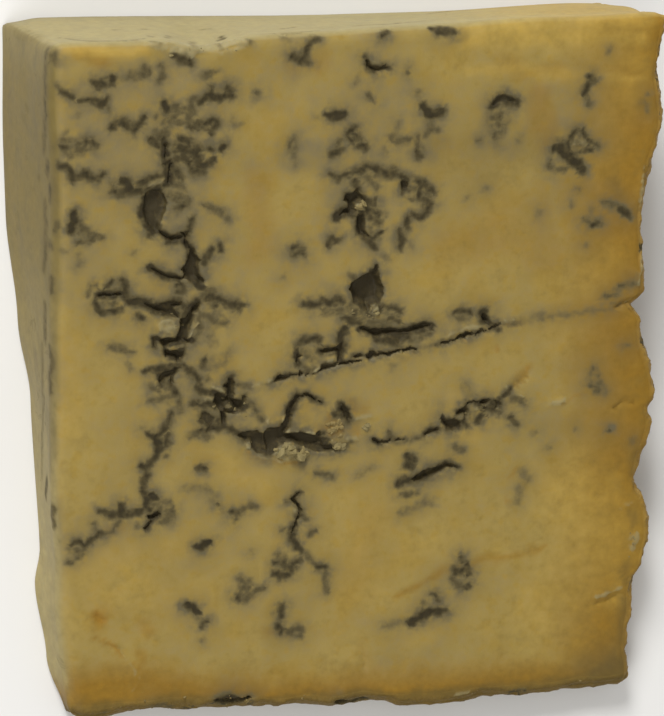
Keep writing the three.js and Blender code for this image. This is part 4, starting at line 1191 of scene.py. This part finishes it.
# Relief of the skin, in millimetres.
SOFT_RELIEF, SOFT_SIZE = 0.03, 4.5
GRAIN_RELIEF, GRAIN_SIZE = 0.01, 0.9
MOULD_SINKING, MOULD_GRAIN = 0.16, 1.1
SMUDGE_SINKING, SMUDGE_GRAIN = 0.12, 1.3
LIP_GRAIN = 1.4
CRAG_RELIEF, CRAG_SIZE, CRAG_LEVEL = 1.3, 5.0, 0.72
GRAIN_CRAG, GRAIN_CRAG_SIZE, GRAIN_CRAG_LEVEL = 0.5, 1.9, 0.7
PIT_RELIEF, PIT_SIZE = 0.45, 2.6
CRAG_TOP = 0.35  # no crag stands higher than this
BROKEN_RIM, TIP_RIM = 2.5, 2.0  # how far the crags reach onto the upper face
BASE_SHARE = 0.08  # the share of the height over which the relief fades to the base

# How squarely the skin faces a side, from none of it to all.
CUT_FACING = (0.35, 0.8)
TORN_FACING = (0.3, 0.75)

# Where the skin gets smaller squares: how far from a mark, and from which strength of each kind.
MARK_HAZE, MARKED, VEINED, SMUDGED = 0.5, 0.2, 0.12, 0.3
CRACK_HAZE, CRACKED, BLACKENED = 0.3, 0.4, 0.62
UPPER_FACE = 0.99  # the share of the height where the upper face starts
SQUARE_CORNERS = 8  # no face but the base has more corners

relief_lumps = Lumps(21)
grain_lumps = Lumps(22)
break_lumps = Lumps(23)


def refine(mesh_data, wanted):
    """Halves the squares' edges where the wanted function of grid corners says so."""
    mesh_data.verts.ensure_lookup_table()
    corners = np.array([vertex.co for vertex in mesh_data.verts])
    chosen = wanted(corners)
    edges = [
        edge for edge in mesh_data.edges
        if chosen[edge.verts[0].index] and chosen[edge.verts[1].index]
    ]
    bmesh.ops.subdivide_edges(mesh_data, edges=edges, cuts=1, use_grid_fill=True)
    mesh_data.verts.index_update()


def near_mark(corners):
    """Corners near a vein, crack, lip or smudge, and all of the broken side."""
    skin = wedge_skin(corners) + centring
    traced = hazed(skin, cracks + dents + lips, hollows + flakes, MARK_HAZE)
    smudged = drawn(skin, smudges, *SMUDGE_PATCH)
    torn = corners[:, 0] > WIDTH - CELL / 2
    marked = (traced > MARKED) | (mould_field(skin) > VEINED) | (smudged > SMUDGED)
    return (corners[:, 2] > 0) & (marked | torn)


def near_crack(corners):
    """Corners of the upper face near a crack or a strong vein."""
    skin = wedge_skin(corners) + centring
    on_top = corners[:, 2] > UPPER_FACE
    traced = hazed(skin, cracks, hollows + flakes, CRACK_HAZE)
    return on_top & ((traced > CRACKED) | (mould_field(skin) > BLACKENED))


def fine_grid():
    """A mesh of the box's skin, with smaller squares where there is more to show."""
    mesh_data = bmesh.new()
    plain = bpy.data.meshes.new("grid")
    plain.from_pydata(grid_corners.tolist(), [], grid_faces)
    mesh_data.from_mesh(plain)
    bpy.data.meshes.remove(plain)
    refine(mesh_data, near_mark)
    refine(mesh_data, near_crack)
    mesh = bpy.data.meshes.new("blue_cheese")
    mesh_data.to_mesh(mesh)
    mesh_data.free()
    return mesh


def read_vectors(items, name):
    flat = np.empty(len(items) * 3, np.float32)
    items.foreach_get(name, flat)
    return flat.reshape(-1, 3).astype(float)


def write_corners(mesh, corners):
    mesh.vertices.foreach_set("co", corners.astype(np.float32).ravel())
    mesh.update()


def write_field(mesh, name, values):
    attribute = mesh.attributes.new(name, "FLOAT", "POINT")
    attribute.data.foreach_set("value", values.astype(np.float32))


def skin_fields(grid, skin, facing):
    """What the finish and the relief need to know at each corner."""
    grained = np.clip(0.75 + 0.9 * layered(grain_lumps, skin, LIP_GRAIN), 0.2, 1.3)
    flaked = flake_cover(warped(skin, *FLAKE_EDGE))
    fields = {
        "mould": mould_field(skin) * (1 - FLAKE_OVER_MOULD * flaked),
        "hollow": hollow_field(skin),
        "smudge": drawn(warped(skin, *SMUDGE_EDGE), smudges, *SMUDGE_FADE),
        "halo": hazed(warped(skin, *HALO_EDGE), veins + cracks, hollows, HALO_FALL),
        "lip": lip_field(skin) * grained,
        "flat_side": ramp(*CUT_FACING, -facing[:, 0]),
        "rind_side": ramp(*CUT_FACING, facing[:, 1]),
        "broken_side": ramp(*TORN_FACING, facing[:, 0]),
        "tip_side": ramp(*TORN_FACING, -facing[:, 1]),
        "to_broken": np.maximum(WIDTH - grid[:, 0], 0),
        "to_tip": np.maximum(grid[:, 1], 0),
        "up": grid[:, 2],
    }
    for name, (rows, edge, fade) in STAINS_AND_PAINTED_LIGHT.items():
        fields[name] = drawn(warped(skin, *edge), strokes_of(rows), *fade)
    return fields


def crags_at(skin, fields):
    """How far the broken side and the tip stand out or in, in millimetres."""
    by_broken = ramp(BROKEN_RIM, 0.2, fields["to_broken"])
    by_tip = ramp(TIP_RIM, 0.2, fields["to_tip"])
    rough = np.maximum(fields["broken_side"], 0.7 * by_broken)
    rough = np.maximum(rough, 0.8 * np.maximum(fields["tip_side"], 0.6 * by_tip))
    crag = CRAG_RELIEF * (creased(break_lumps, skin, CRAG_SIZE, 4) - CRAG_LEVEL)
    crag = crag + GRAIN_CRAG * (creased(grain_lumps, skin, GRAIN_CRAG_SIZE, 3) - GRAIN_CRAG_LEVEL)
    crag = crag - PIT_RELIEF * ramp(0.3, 0.6, break_lumps(skin, PIT_SIZE)) * fields["broken_side"]
    return rough * np.minimum(crag, CRAG_TOP)


def relief_at(skin, fields):
    """How far the skin moves along its normal, in millimetres."""
    soft = SOFT_RELIEF * layered(relief_lumps, skin, SOFT_SIZE)
    lifted = soft + GRAIN_RELIEF * grain_lumps(skin, GRAIN_SIZE) + fields["lip"]
    furry = ramp(0.3, 1.0, fields["mould"]) * (0.7 + 0.6 * grain_lumps(skin, MOULD_GRAIN))
    sunk = fields["hollow"] + MOULD_SINKING * (1 - fields["flat_side"]) * furry
    sunk = sunk + SMUDGE_SINKING * fields["smudge"] * creased(grain_lumps, skin, SMUDGE_GRAIN, 2)
    sunk = sunk + drawn(warped(skin, *CRACK_EDGE), dents, *DENT_FADE)
    relief = lifted - sunk + crags_at(skin, fields)
    up = fields["up"]
    return relief * np.where(up <= 0, 0.0, ramp(0, BASE_SHARE, up))


def make_cheese():
    """The cheese's mesh, with the fields that its finish reads."""
    mesh = fine_grid()
    grid = read_vectors(mesh.vertices, "co")
    skin = wedge_skin(grid) + centring
    write_corners(mesh, skin * MM)
    facing = read_vectors(mesh.vertex_normals, "vector")
    fields = skin_fields(grid, skin, facing)
    write_corners(mesh, (skin + facing * relief_at(skin, fields)[:, None]) * MM)

    fields["lip"] = np.clip(fields["lip"] / FLAKE_FULL, 0, 1)
    for name, values in fields.items():
        write_field(mesh, name, values)
    is_base = np.array([len(polygon.vertices) > SQUARE_CORNERS for polygon in mesh.polygons])
    mesh.polygons.foreach_set("use_smooth", ~is_base)
    mesh.polygons.foreach_set("material_index", is_base.astype(np.int32))
    mesh.update()
    return placed("blue_cheese", mesh)


# -------- finishes


class Wire:
    """An output of a finish's nodes, for sums written as plain Python."""

    def __init__(self, finish, socket):
        self.finish = finish
        self.socket = socket

    def worked(self, operation, first, second=0.0):
        return self.finish.node("ShaderNodeMath", {"operation": operation}, {0: first, 1: second})

    def __add__(self, other):
        return self.worked("ADD", self, other)

    def __radd__(self, other):
        return self.worked("ADD", other, self)

    def __sub__(self, other):
        return self.worked("SUBTRACT", self, other)

    def __rsub__(self, other):
        return self.worked("SUBTRACT", other, self)

    def __mul__(self, other):
        return self.worked("MULTIPLY", self, other)

    def __rmul__(self, other):
        return self.worked("MULTIPLY", other, self)

    def higher(self, other):
        return self.worked("MAXIMUM", self, other)

    def magnitude(self):
        return self.worked("ABSOLUTE", self)

    def ramp(self, low, high):
        """0 below low and 1 above high, with a soft rise between, or a fall if low is higher."""
        settings = {"interpolation_type": "SMOOTHSTEP"}
        ends = (low, high, 0.0, 1.0) if low < high else (high, low, 1.0, 0.0)
        names = ("From Min", "From Max", "To Min", "To Max")
        return self.finish.node("ShaderNodeMapRange", settings, {"Value": self, **dict(zip(names, ends))})


def linear(red, green, blue):
    """A colour from its usual 0 to 255 numbers."""
    def straight(value):
        value /= 255
        return value / 12.92 if value <= 0.04045 else ((value + 0.055) / 1.055) ** 2.4
    return (straight(red), straight(green), straight(blue), 1.0)


class Finish:
    """A material built node by node."""

    def __init__(self, name):
        self.material = bpy.data.materials.new(name)
        self.material.use_nodes = True
        self.tree = self.material.node_tree
        self.tree.nodes.clear()

    def node(self, kind, settings, inputs, output=0):
        """A node of a kind: its settings first, then the values or links of its sockets."""
        made = self.tree.nodes.new(kind)
        for name, value in settings.items():
            setattr(made, name, value)
        for key, value in inputs.items():
            socket = made.inputs[key]
            if isinstance(value, Wire):
                self.tree.links.new(value.socket, socket)
            else:
                socket.default_value = value
        return None if output is None else Wire(self, made.outputs[output])

    def field(self, name):
        return self.node("ShaderNodeAttribute", {"attribute_name": name}, {}, "Fac")

    def place(self):
        return self.node("ShaderNodeTexCoord", {}, {}, "Object")

    def stretched(self, x, y, z):
        return self.node("ShaderNodeMapping", {}, {"Vector": self.place(), "Scale": (x, y, z)})

    def noise(self, size, detail=2.0, roughness=0.5, distortion=0.0, place=None):
        """Noise from 0 to 1 whose lumps are a size in millimetres."""
        inputs = {
            "Vector": place or self.place(),
            "Scale": 1 / (size * MM),
            "Detail": detail,
            "Roughness": roughness,
            "Distortion": distortion,
        }
        return self.node("ShaderNodeTexNoise", {}, inputs, "Fac")

    def mixed(self, share, first, second, blend="MIX"):
        """Two colours mixed; a Mix node's colours are its inputs 6 and 7 and its output 2."""
        settings = {"data_type": "RGBA", "blend_type": blend, "clamp_factor": True}
        return self.node("ShaderNodeMix", settings, {0: share, 6: first, 7: second}, 2)

    def shaded(self, colour, shade):
        """A colour made lighter or darker by a number."""
        grey = self.node("ShaderNodeCombineColor", {}, {"Red": shade, "Green": shade, "Blue": shade})
        return self.mixed(1.0, colour, grey, "MULTIPLY")

    def bump(self, height, distance, below=None):
        """Bumps of a height in millimetres, on those below."""
        inputs = {"Height": height, "Distance": distance * MM, "Strength": 1.0}
        if below:
            inputs["Normal"] = below
        return self.node("ShaderNodeBump", {}, inputs)

    def surface(self, inputs):
        shader = self.node("ShaderNodeBsdfPrincipled", {}, inputs)
        self.node("ShaderNodeOutputMaterial", {}, {"Surface": shader}, None)
        return self.material


YELLOW_PASTE = linear(152, 131, 70)
GREY_PASTE = linear(121, 108, 73)
WARM_PASTE = linear(152, 125, 50)
# Amber tint of the paste, also used as a painted warm shade by the broken side and the tip.
AMBER_TINT_AND_WARM_SHADE = linear(136, 103, 30)
# A bright warm tone of the paste and the rind side, also used as the painted highlight along the upper
# edge.
BRIGHT_TINT_AND_EDGE_LIGHT = linear(176, 146, 66)
# Brown for a darker patch, and for the painted shade by the broken side, the tip and the lower corner.
BROWN_TINT_AND_EDGE_SHADE = linear(94, 80, 44)
HALO_PASTE = linear(97, 88, 62)
PALE_PASTE = linear(144, 133, 94)
RIND_PASTE = linear(150, 138, 94)
FLAT_PASTE = linear(112, 97, 50)
PALE_FLAT_PASTE = linear(155, 141, 96)
# The broken side's warm tone, made lighter as a painted light on a side turned from the lamps.
BROKEN_SIDE_TONE_AND_LIGHT = linear(162, 130, 62)
# Painted shade along the rounded edge at the tip.
TIP_SHADE_COLOUR = linear(108, 88, 38)
ORANGE_SPECK = linear(145, 110, 38)
GREY_MOULD = linear(98, 87, 56)
DARK_MOULD = linear(57, 49, 26)
BLACK_MOULD = linear(50, 43, 26)
CRACK_WALL = linear(74, 64, 38)
CRACK_DEPTH = linear(59, 51, 31)
CRUMB_PASTE = linear(134, 122, 82)
GREY_CRUMB = linear(92, 81, 52)
TAN_CRUMB = linear(128, 110, 66)

# Tones and painted shade that come and go with the distance from the broken side, from none to full, in
# millimetres.
# Painted warm shade of the upper face towards the broken side.
BROKEN_WARM_SHADE = (22.0, 2.0)
FLAT_CORNER = (76.0, 92.0)
RIND_WARMTH = (42.0, 8.0)
# Where the painted shade along the rind side's base fades in.
RIND_BASE_SHADE_SPAN = (40.0, 75.0)
RIND_CORNER = (26.0, 6.0)
# Tones and painted shade that come and go with the distance from the tip.
# Painted warm shade of the upper face towards the tip.
TIP_WARM_SHADE = (9.0, 2.0)
# Where the painted shade along the tip's edge lies.
TIP_EDGE_SHADE_SPAN = (3.6, 1.4)
FLAT_START = (1.0, 9.0)
FLAT_PALENESS = (95.0, 20.0)
FLAT_RIND = (106.0, 113.0)
FLAT_MOULD = (18.0, 40.0)


class PasteFinish(Finish):
    """The blue-veined paste, with the noises that its layers share."""

    def __init__(self, name):
        super().__init__(name)
        self.speckle = self.noise(1.1, 1.6, 0.5)
        self.grain = self.noise(0.28, 2.0, 0.6)
        self.clouds = self.noise(9.0, 3.0, 0.55)
        self.mottle = self.speckle - 0.5
        self.wander = self.noise(2.6, 3.0, 0.55) - 0.5
        self.to_broken = self.field("to_broken")
        self.to_tip = self.field("to_tip")
        self.flat_side = self.field("flat_side")
        self.rind_side = self.field("rind_side")
        self.broken_side = self.field("broken_side")
        self.torn = self.broken_side.higher(self.field("tip_side"))

    def face_paste(self):
        """The paste's own colours, stains and halos round the veins, with painted warm shade towards the
        broken side and the tip, and the painted light and shade in the bright and brown stains.
        """
        clouded = (self.clouds - 0.5) * 1.4 + self.wander * 1.3 + self.mottle * 0.7
        greyed = self.field("greyness") * 0.5 + 0.06 + clouded
        paste = self.mixed(greyed, YELLOW_PASTE, GREY_PASTE)
        warm = self.noise(6.0, 3.0, 0.5, 0.3).ramp(0.5, 0.72)
        warm = warm.higher(self.noise(2.0, 2.0).ramp(0.5, 0.75))
        paste = self.mixed(warm * (1 - greyed.ramp(0.2, 0.9)) * 0.55, paste, WARM_PASTE)
        # Amber within reach of the broken side and the tip is painted warm shade, taken together with the
        # amber stains.
        by_broken = (self.to_broken + self.wander * 7.0).ramp(*BROKEN_WARM_SHADE)
        by_corner = self.to_broken.ramp(*FLAT_CORNER) * 3.0
        by_tip = (self.to_tip + self.wander * 4.0 - by_corner).ramp(*TIP_WARM_SHADE)
        amber = self.field("amber").higher(by_broken).higher(by_tip)
        paste = self.mixed(amber * (1.0 + self.wander * 0.8), paste, AMBER_TINT_AND_WARM_SHADE)
        # The bright stains hold a painted highlight along the upper edge by the rind.
        paste = self.mixed(self.field("bright") * (1.0 + self.wander * 0.6), paste, BRIGHT_TINT_AND_EDGE_LIGHT)
        # The brown stains hold painted shade along the broken side, the tip and the lower corner.
        paste = self.mixed(self.field("brown") * (1.0 + self.wander * 0.8), paste, BROWN_TINT_AND_EDGE_SHADE)
        paste = self.mixed(self.field("orange"), paste, ORANGE_SPECK)
        haze = self.field("halo") * (1.1 + self.wander * 3.5 + self.mottle * 2.0)
        return self.mixed(haze, paste, HALO_PASTE)

    def rind_paste(self, paste):
        """The pale side at the rind, warmer and a little darker towards the broken side, with a painted
        shade along its base away from the broken side.
        """
        up = self.field("up")
        tone = self.mixed(self.to_broken.ramp(*RIND_WARMTH) * 0.7, RIND_PASTE, BRIGHT_TINT_AND_EDGE_LIGHT)
        # Painted shade along the base of the rind side, away from the broken side.
        painted_base_shade = up.ramp(0.35, 0.0) * self.to_broken.ramp(*RIND_BASE_SHADE_SPAN) * 0.24
        tone = self.shaded(tone, 1.0 - (painted_base_shade + self.to_broken.ramp(*RIND_CORNER) * 0.07))
        return self.mixed(self.rind_side * 0.9, paste, tone)

    def flat_paste(self, paste):
        """The flat side, darker towards the rind and streaked with grey."""
        tone = self.mixed(self.to_tip.ramp(*FLAT_PALENESS), FLAT_PASTE, PALE_FLAT_PASTE)
        tone = self.shaded(tone, 1.06 - self.field("up") * 0.15)
        tone = self.mixed(self.to_tip.ramp(*FLAT_RIND) * 0.25, tone, RIND_PASTE)
        start = (self.to_tip + self.wander * 3.0).ramp(*FLAT_START)
        paste = self.mixed(self.flat_side * start * 0.95, paste, tone)
        streaks = self.noise(4.0, 4.0, 0.6, place=self.stretched(1.0, 0.35, 1.0))
        side_mould = streaks.ramp(0.48, 0.7) * self.flat_side * self.to_tip.ramp(*FLAT_MOULD)
        return self.mixed(side_mould * 0.45, paste, GREY_MOULD)

    def broken_paste(self, paste):
        """A painted brown shade along the tip's edge, and the broken side's warm tone, partly a painted
        light where it turns from the lamps.
        """
        # Painted shade along the rounded edge at the tip.
        brown = (self.to_tip + self.wander * 2.0).ramp(*TIP_EDGE_SHADE_SPAN)
        paste = self.mixed(brown * 0.9, paste, TIP_SHADE_COLOUR)
        # The broken side's own warm tone, lightened as a painted light where it turns from the lamps.
        clouded = self.clouds.ramp(0.38, 0.62) * 0.5 + 0.35
        return self.mixed(self.broken_side * clouded, paste, BROKEN_SIDE_TONE_AND_LIGHT)

    def all_mould(self):
        """The drawn veins, and threads and patches on the sides."""
        seams = self.noise(9.0, 5.0, 0.6, 0.6)
        thread = 1 - (seams - 0.5).magnitude().ramp(0.0, 0.05)
        sides = self.torn.higher(self.flat_side * 0.35).higher(self.rind_side * 0.25)
        mould = self.field("mould").higher(thread * sides * self.clouds.ramp(0.5, 0.6) * 0.7)
        return mould.higher(seams.ramp(0.6, 0.72) * self.broken_side * 0.55)


def cheese_finish():
    """Paste, then lips, mould from grey to black, and the dark of hollows and cracks."""
    finish = PasteFinish("blue_veined_paste")
    speckle = finish.speckle
    mottle = finish.mottle
    wander = finish.wander
    paste = finish.face_paste()
    paste = finish.rind_paste(paste)
    paste = finish.flat_paste(paste)
    paste = finish.broken_paste(paste)
    paste = finish.shaded(paste, 1.0 + wander * 0.5 + mottle * 0.3)
    lip = (finish.field("lip") * (1.0 + wander * 1.2)).ramp(0.15, 0.9)
    paste = finish.mixed(lip * 0.65, paste, PALE_PASTE)

    mould = finish.all_mould()
    ragged = mould * (1.03 + mottle * 0.9) + mottle * 0.16 + (finish.grain - 0.5) * 0.08
    present = mould.ramp(0.0, 0.25)
    smudge = finish.field("smudge")
    patch = smudge * (1 + mottle * 1.6) + mottle * 0.2
    patched = smudge.ramp(0.0, 0.45)
    grey = (ragged.ramp(0.0, 0.6) * present).higher(patch.ramp(0.0, 0.7) * patched)
    dark = (ragged.ramp(0.25, 1.0) * present).higher(patch.ramp(0.4, 1.1) * patched * 0.9)
    black = ragged.ramp(0.75, 1.3) * present
    colour = finish.mixed(grey * 0.85, paste, GREY_MOULD)
    colour = finish.mixed(dark, colour, DARK_MOULD)
    colour = finish.mixed(black, colour, BLACK_MOULD)
    hollow = finish.field("hollow")
    # Hollows and cracks take a dark mould lining; it darkens further with their depth, a painted shade,
    # and with speckle and strong mould.
    deep = (speckle * 1.3 + hollow * 0.22 + mould.ramp(0.75, 1.0) * 0.3).ramp(0.68, 0.98)
    wall = finish.mixed(deep, CRACK_WALL, CRACK_DEPTH)
    colour = finish.mixed(hollow.ramp(0.12, 0.45), colour, wall)

    curd = finish.bump(finish.noise(1.6, 4.0, 0.5), 0.04)
    fine = finish.bump(finish.grain, 0.02, curd)
    crags = finish.bump(finish.noise(2.4, 5.0, 0.65) * finish.torn, 1.0, fine)
    furred = finish.bump(speckle * dark, 0.1, crags)
    return finish.surface({
        "Base Color": colour,
        "Roughness": 0.55 + grey * 0.2 + wander * 0.15,
        "Normal": furred,
        "Specular IOR Level": 0.22,
        "Subsurface Weight": 0.12,
        "Subsurface Radius": (1.0, 0.62, 0.22),
        "Subsurface Scale": 1.6 * MM,
    })


def underside_finish():
    """The lower cut face, with veins of its own."""
    finish = Finish("paste_underneath")
    clouds = finish.noise(7.0, 3.0, 0.6)
    seams = finish.noise(11.0, 5.0, 0.62, 0.8)
    vein = 1 - (seams - 0.5).magnitude().ramp(0.0, 0.03)
    paste = finish.mixed(clouds, YELLOW_PASTE, GREY_PASTE)
    return finish.surface({
        "Base Color": finish.mixed(vein * clouds.ramp(0.48, 0.6), paste, DARK_MOULD),
        "Roughness": 0.6,
        "Normal": finish.bump(finish.noise(1.4, 4.0), 0.1),
    })


def crumb_finish():
    """Loose crumbs; their tone is 0 for pale ones, 1 for grey ones and -1 for tan ones."""
    finish = Finish("loose_crumbs")
    grain = finish.noise(0.4, 2.0, 0.6)
    tone = finish.field("tone")
    paste = finish.mixed(tone, CRUMB_PASTE, GREY_CRUMB)
    paste = finish.mixed(tone * -1.0, paste, TAN_CRUMB)
    return finish.surface({
        "Base Color": finish.mixed((grain - 0.5) * 1.6 + 0.2, paste, GREY_PASTE),
        "Roughness": 0.7,
        "Normal": finish.bump(grain, 0.04),
        "Specular IOR Level": 0.15,
    })


# -------- crumbs

PALE, TAN, GREY = 0.0, -1.0, 1.0

# Each heap is how many crumbs, their size in millimetres, their tone, and the heap's middle and half
# widths on the drawing.
CRUMB_HEAPS = {
    "in the hollow": (9, 2.7, PALE, (286, 453), (13, 6)),
    "among those": (5, 1.2, PALE, (285, 452), (14, 8)),
    "past the hollow": (4, 1.4, PALE, (304, 453), (5, 4)),
    "at the hollow's mouth": (3, 0.9, GREY, (249, 446), (3, 4)),
    "in the crumbled patch": (12, 1.9, TAN, (336, 430), (12, 15)),
    "below the crumbled patch": (6, 1.5, PALE, (338, 444), (7, 4)),
    "past the crumbled patch": (5, 1.5, PALE, (366, 427), (5, 4)),
    "under the teardrop": (9, 0.9, GREY, (366, 315), (24, 6)),
    "in the teardrop": (3, 1.1, PALE, (375, 312), (4, 3)),
    "in the ring": (3, 1.4, PALE, (360, 206), (4, 3)),
    "in the join": (7, 0.8, GREY, (228, 405), (22, 10)),
    "in the seam": (7, 0.8, GREY, (180, 330), (10, 26)),
    "on the ledge": (7, 0.7, PALE, (196, 50), (44, 6)),
    "by the lower crack": (6, 0.8, GREY, (474, 412), (24, 7)),
    "by the broken side": (7, 0.7, PALE, (633, 545), (5, 16)),
    "by the tip": (9, 0.7, TAN, (330, 698), (190, 4)),
}
SIDE_CRUMBS = 70
SIDE_CRUMB_SIZE = 0.6
SIDE_CRUMB_HEIGHTS = (2, 24)
BROKEN_SHARE = 0.6  # how many of the side's crumbs lie on the broken side, the rest at the tip
BROKEN_SPAN = (-54, 50)
TIP_SPAN = (-44, 48)
TIP_HEIGHT_SHARE = 0.25
DROP_DISTANCE = 0.2  # metres from the middle, from where the side's crumbs land
CRUMB_SPREAD = 0.35  # how much the crumbs of a heap differ in size
CRUMB_STRETCH = (0.7, 1.3)
CRUMB_BREAKS = 14  # flat breaks that give a crumb its corners
BREAK_DEPTHS = (0.35, 0.8)  # their distances from its middle, as shares of its half size
CRUMB_TONE_SPREAD = 0.25
CRUMB_SINKING = 0.35  # how far a crumb's middle lies in the paste, as a share of its half size


def seen_place(tree, across, down):
    """Where a place on the drawing lies on the finished cheese, and which way the cheese faces there."""
    eye = Vector(view_frame()[0] * MM)
    return tree.ray_cast(eye, Vector(sight_line(across, down)))[:2]


def side_place(tree, draw):
    """A place on the broken side or at the tip."""
    height = draw.uniform(*SIDE_CRUMB_HEIGHTS) * MM
    if draw.random() < BROKEN_SHARE:
        start = Vector((DROP_DISTANCE, draw.uniform(*BROKEN_SPAN) * MM, height))
        line = Vector((-1, 0, 0))
    else:
        start = Vector((draw.uniform(*TIP_SPAN) * MM, -DROP_DISTANCE, height * TIP_HEIGHT_SHARE))
        line = Vector((0, 1, 0))
    return tree.ray_cast(start, line)[:2]


def crumb_spots(tree, draw):
    """The size, tone, place and facing of every crumb; a place beside the cheese is None."""
    spots = []
    for count, size, tone, middle, halves in CRUMB_HEAPS.values():
        for across, down in draw.normal(middle, np.array(halves) / 2, (count, 2)):
            spots.append((size, tone, seen_place(tree, across, down)))
    spots += [(SIDE_CRUMB_SIZE, TAN, side_place(tree, draw)) for _ in range(SIDE_CRUMBS)]
    return spots


def crumb_ball():
    ball = bmesh.new()
    bmesh.ops.create_icosphere(ball, subdivisions=2, radius=1.0)
    ball.verts.index_update()
    corners = np.array([corner.co for corner in ball.verts])
    faces = np.array([[corner.index for corner in face.verts] for face in ball.faces])
    ball.free()
    return corners, faces


def make_crumbs(cheese):
    """Small crumbs in the hollows and along the broken edges, as one mesh."""
    tree = BVHTree.FromObject(cheese, bpy.context.evaluated_depsgraph_get())
    draw = np.random.default_rng(31)
    ball, ball_faces = crumb_ball()
    corners, faces, tones = [], [], []
    for size, tone, (place, facing) in crumb_spots(tree, draw):
        half = size * math.exp(min(draw.normal(0, CRUMB_SPREAD), CRUMB_SPREAD)) / 2
        shape = half * draw.uniform(*CRUMB_STRETCH, 3)
        breaks = draw.normal(size=(CRUMB_BREAKS, 3))
        breaks /= np.linalg.norm(breaks, axis=1)[:, None]
        depths = draw.uniform(*BREAK_DEPTHS, CRUMB_BREAKS)
        shift = draw.normal(0, CRUMB_TONE_SPREAD)
        if place is None:
            continue
        reach = np.min(depths / np.maximum(ball @ breaks.T, 0.01), axis=1)
        crumb = ball * np.minimum(reach, 1.0)[:, None] * shape
        crumb = crumb + np.array(place) / MM - np.array(facing) * half * CRUMB_SINKING
        faces.append(ball_faces + len(ball) * len(corners))
        corners.append(crumb)
        tones.append(np.full(len(ball), tone + shift))
    mesh = bpy.data.meshes.new("cheese_crumbs")
    mesh.from_pydata((np.concatenate(corners) * MM).tolist(), [], np.concatenate(faces).tolist())
    write_field(mesh, "tone", np.concatenate(tones))
    mesh.materials.append(crumb_finish())
    return placed("cheese_crumbs", mesh)


# -------- stage and light

FLOOR_HALF = 3.0
FLOOR_TONE = linear(226, 225, 222)
LIT_PLACE = (0, 0, 0.015)
# Each lamp's place, size and power.
LAMPS = {
    "key_lamp": ((-0.30, 0.75, 0.62), 0.35, 9.0),
    "fill_lamp": ((-0.5, -0.5, 0.9), 0.8, 4.0),
}
ROOM_TONE = (1.0, 0.985, 0.96, 1.0)
ROOM_STRENGTH = 0.45


def make_floor():
    finish = Finish("pale_floor")
    finish.surface({"Base Color": FLOOR_TONE, "Roughness": 0.85})
    mesh = bpy.data.meshes.new("floor")
    corners = [(FLOOR_HALF * x, FLOOR_HALF * y, 0) for x, y in ((-1, -1), (1, -1), (1, 1), (-1, 1))]
    mesh.from_pydata(corners, [], [(0, 1, 2, 3)])
    mesh.materials.append(finish.material)
    floor = placed("floor", mesh)


def add_lamp(name, place, size, power):
    data = bpy.data.lights.new(name, "AREA")
    data.shape = "DISK"
    data.size = size
    data.energy = power
    lamp = placed(name, data)
    away = Vector(place) - Vector(LIT_PLACE)
    lamp.matrix_world = Matrix.Translation(place) @ away.to_track_quat("Z", "Y").to_matrix().to_4x4()


def make_light():
    for name, lamp in LAMPS.items():
        add_lamp(name, *lamp)
    world = bpy.data.worlds.new("studio")
    world.use_nodes = True
    room = world.node_tree.nodes["Background"].inputs
    room["Color"].default_value = ROOM_TONE
    room["Strength"].default_value = ROOM_STRENGTH
    bpy.context.scene.world = world
    bpy.context.scene.view_settings.view_transform = "Standard"


# -------- putting it together

make_camera()
cheese = make_cheese()
cheese.data.materials.append(cheese_finish())
cheese.data.materials.append(underside_finish())
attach(cheese, "root")
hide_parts("cheese_wedge")
crumbs = make_crumbs(cheese)
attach(crumbs, "root")
make_floor()
make_light()
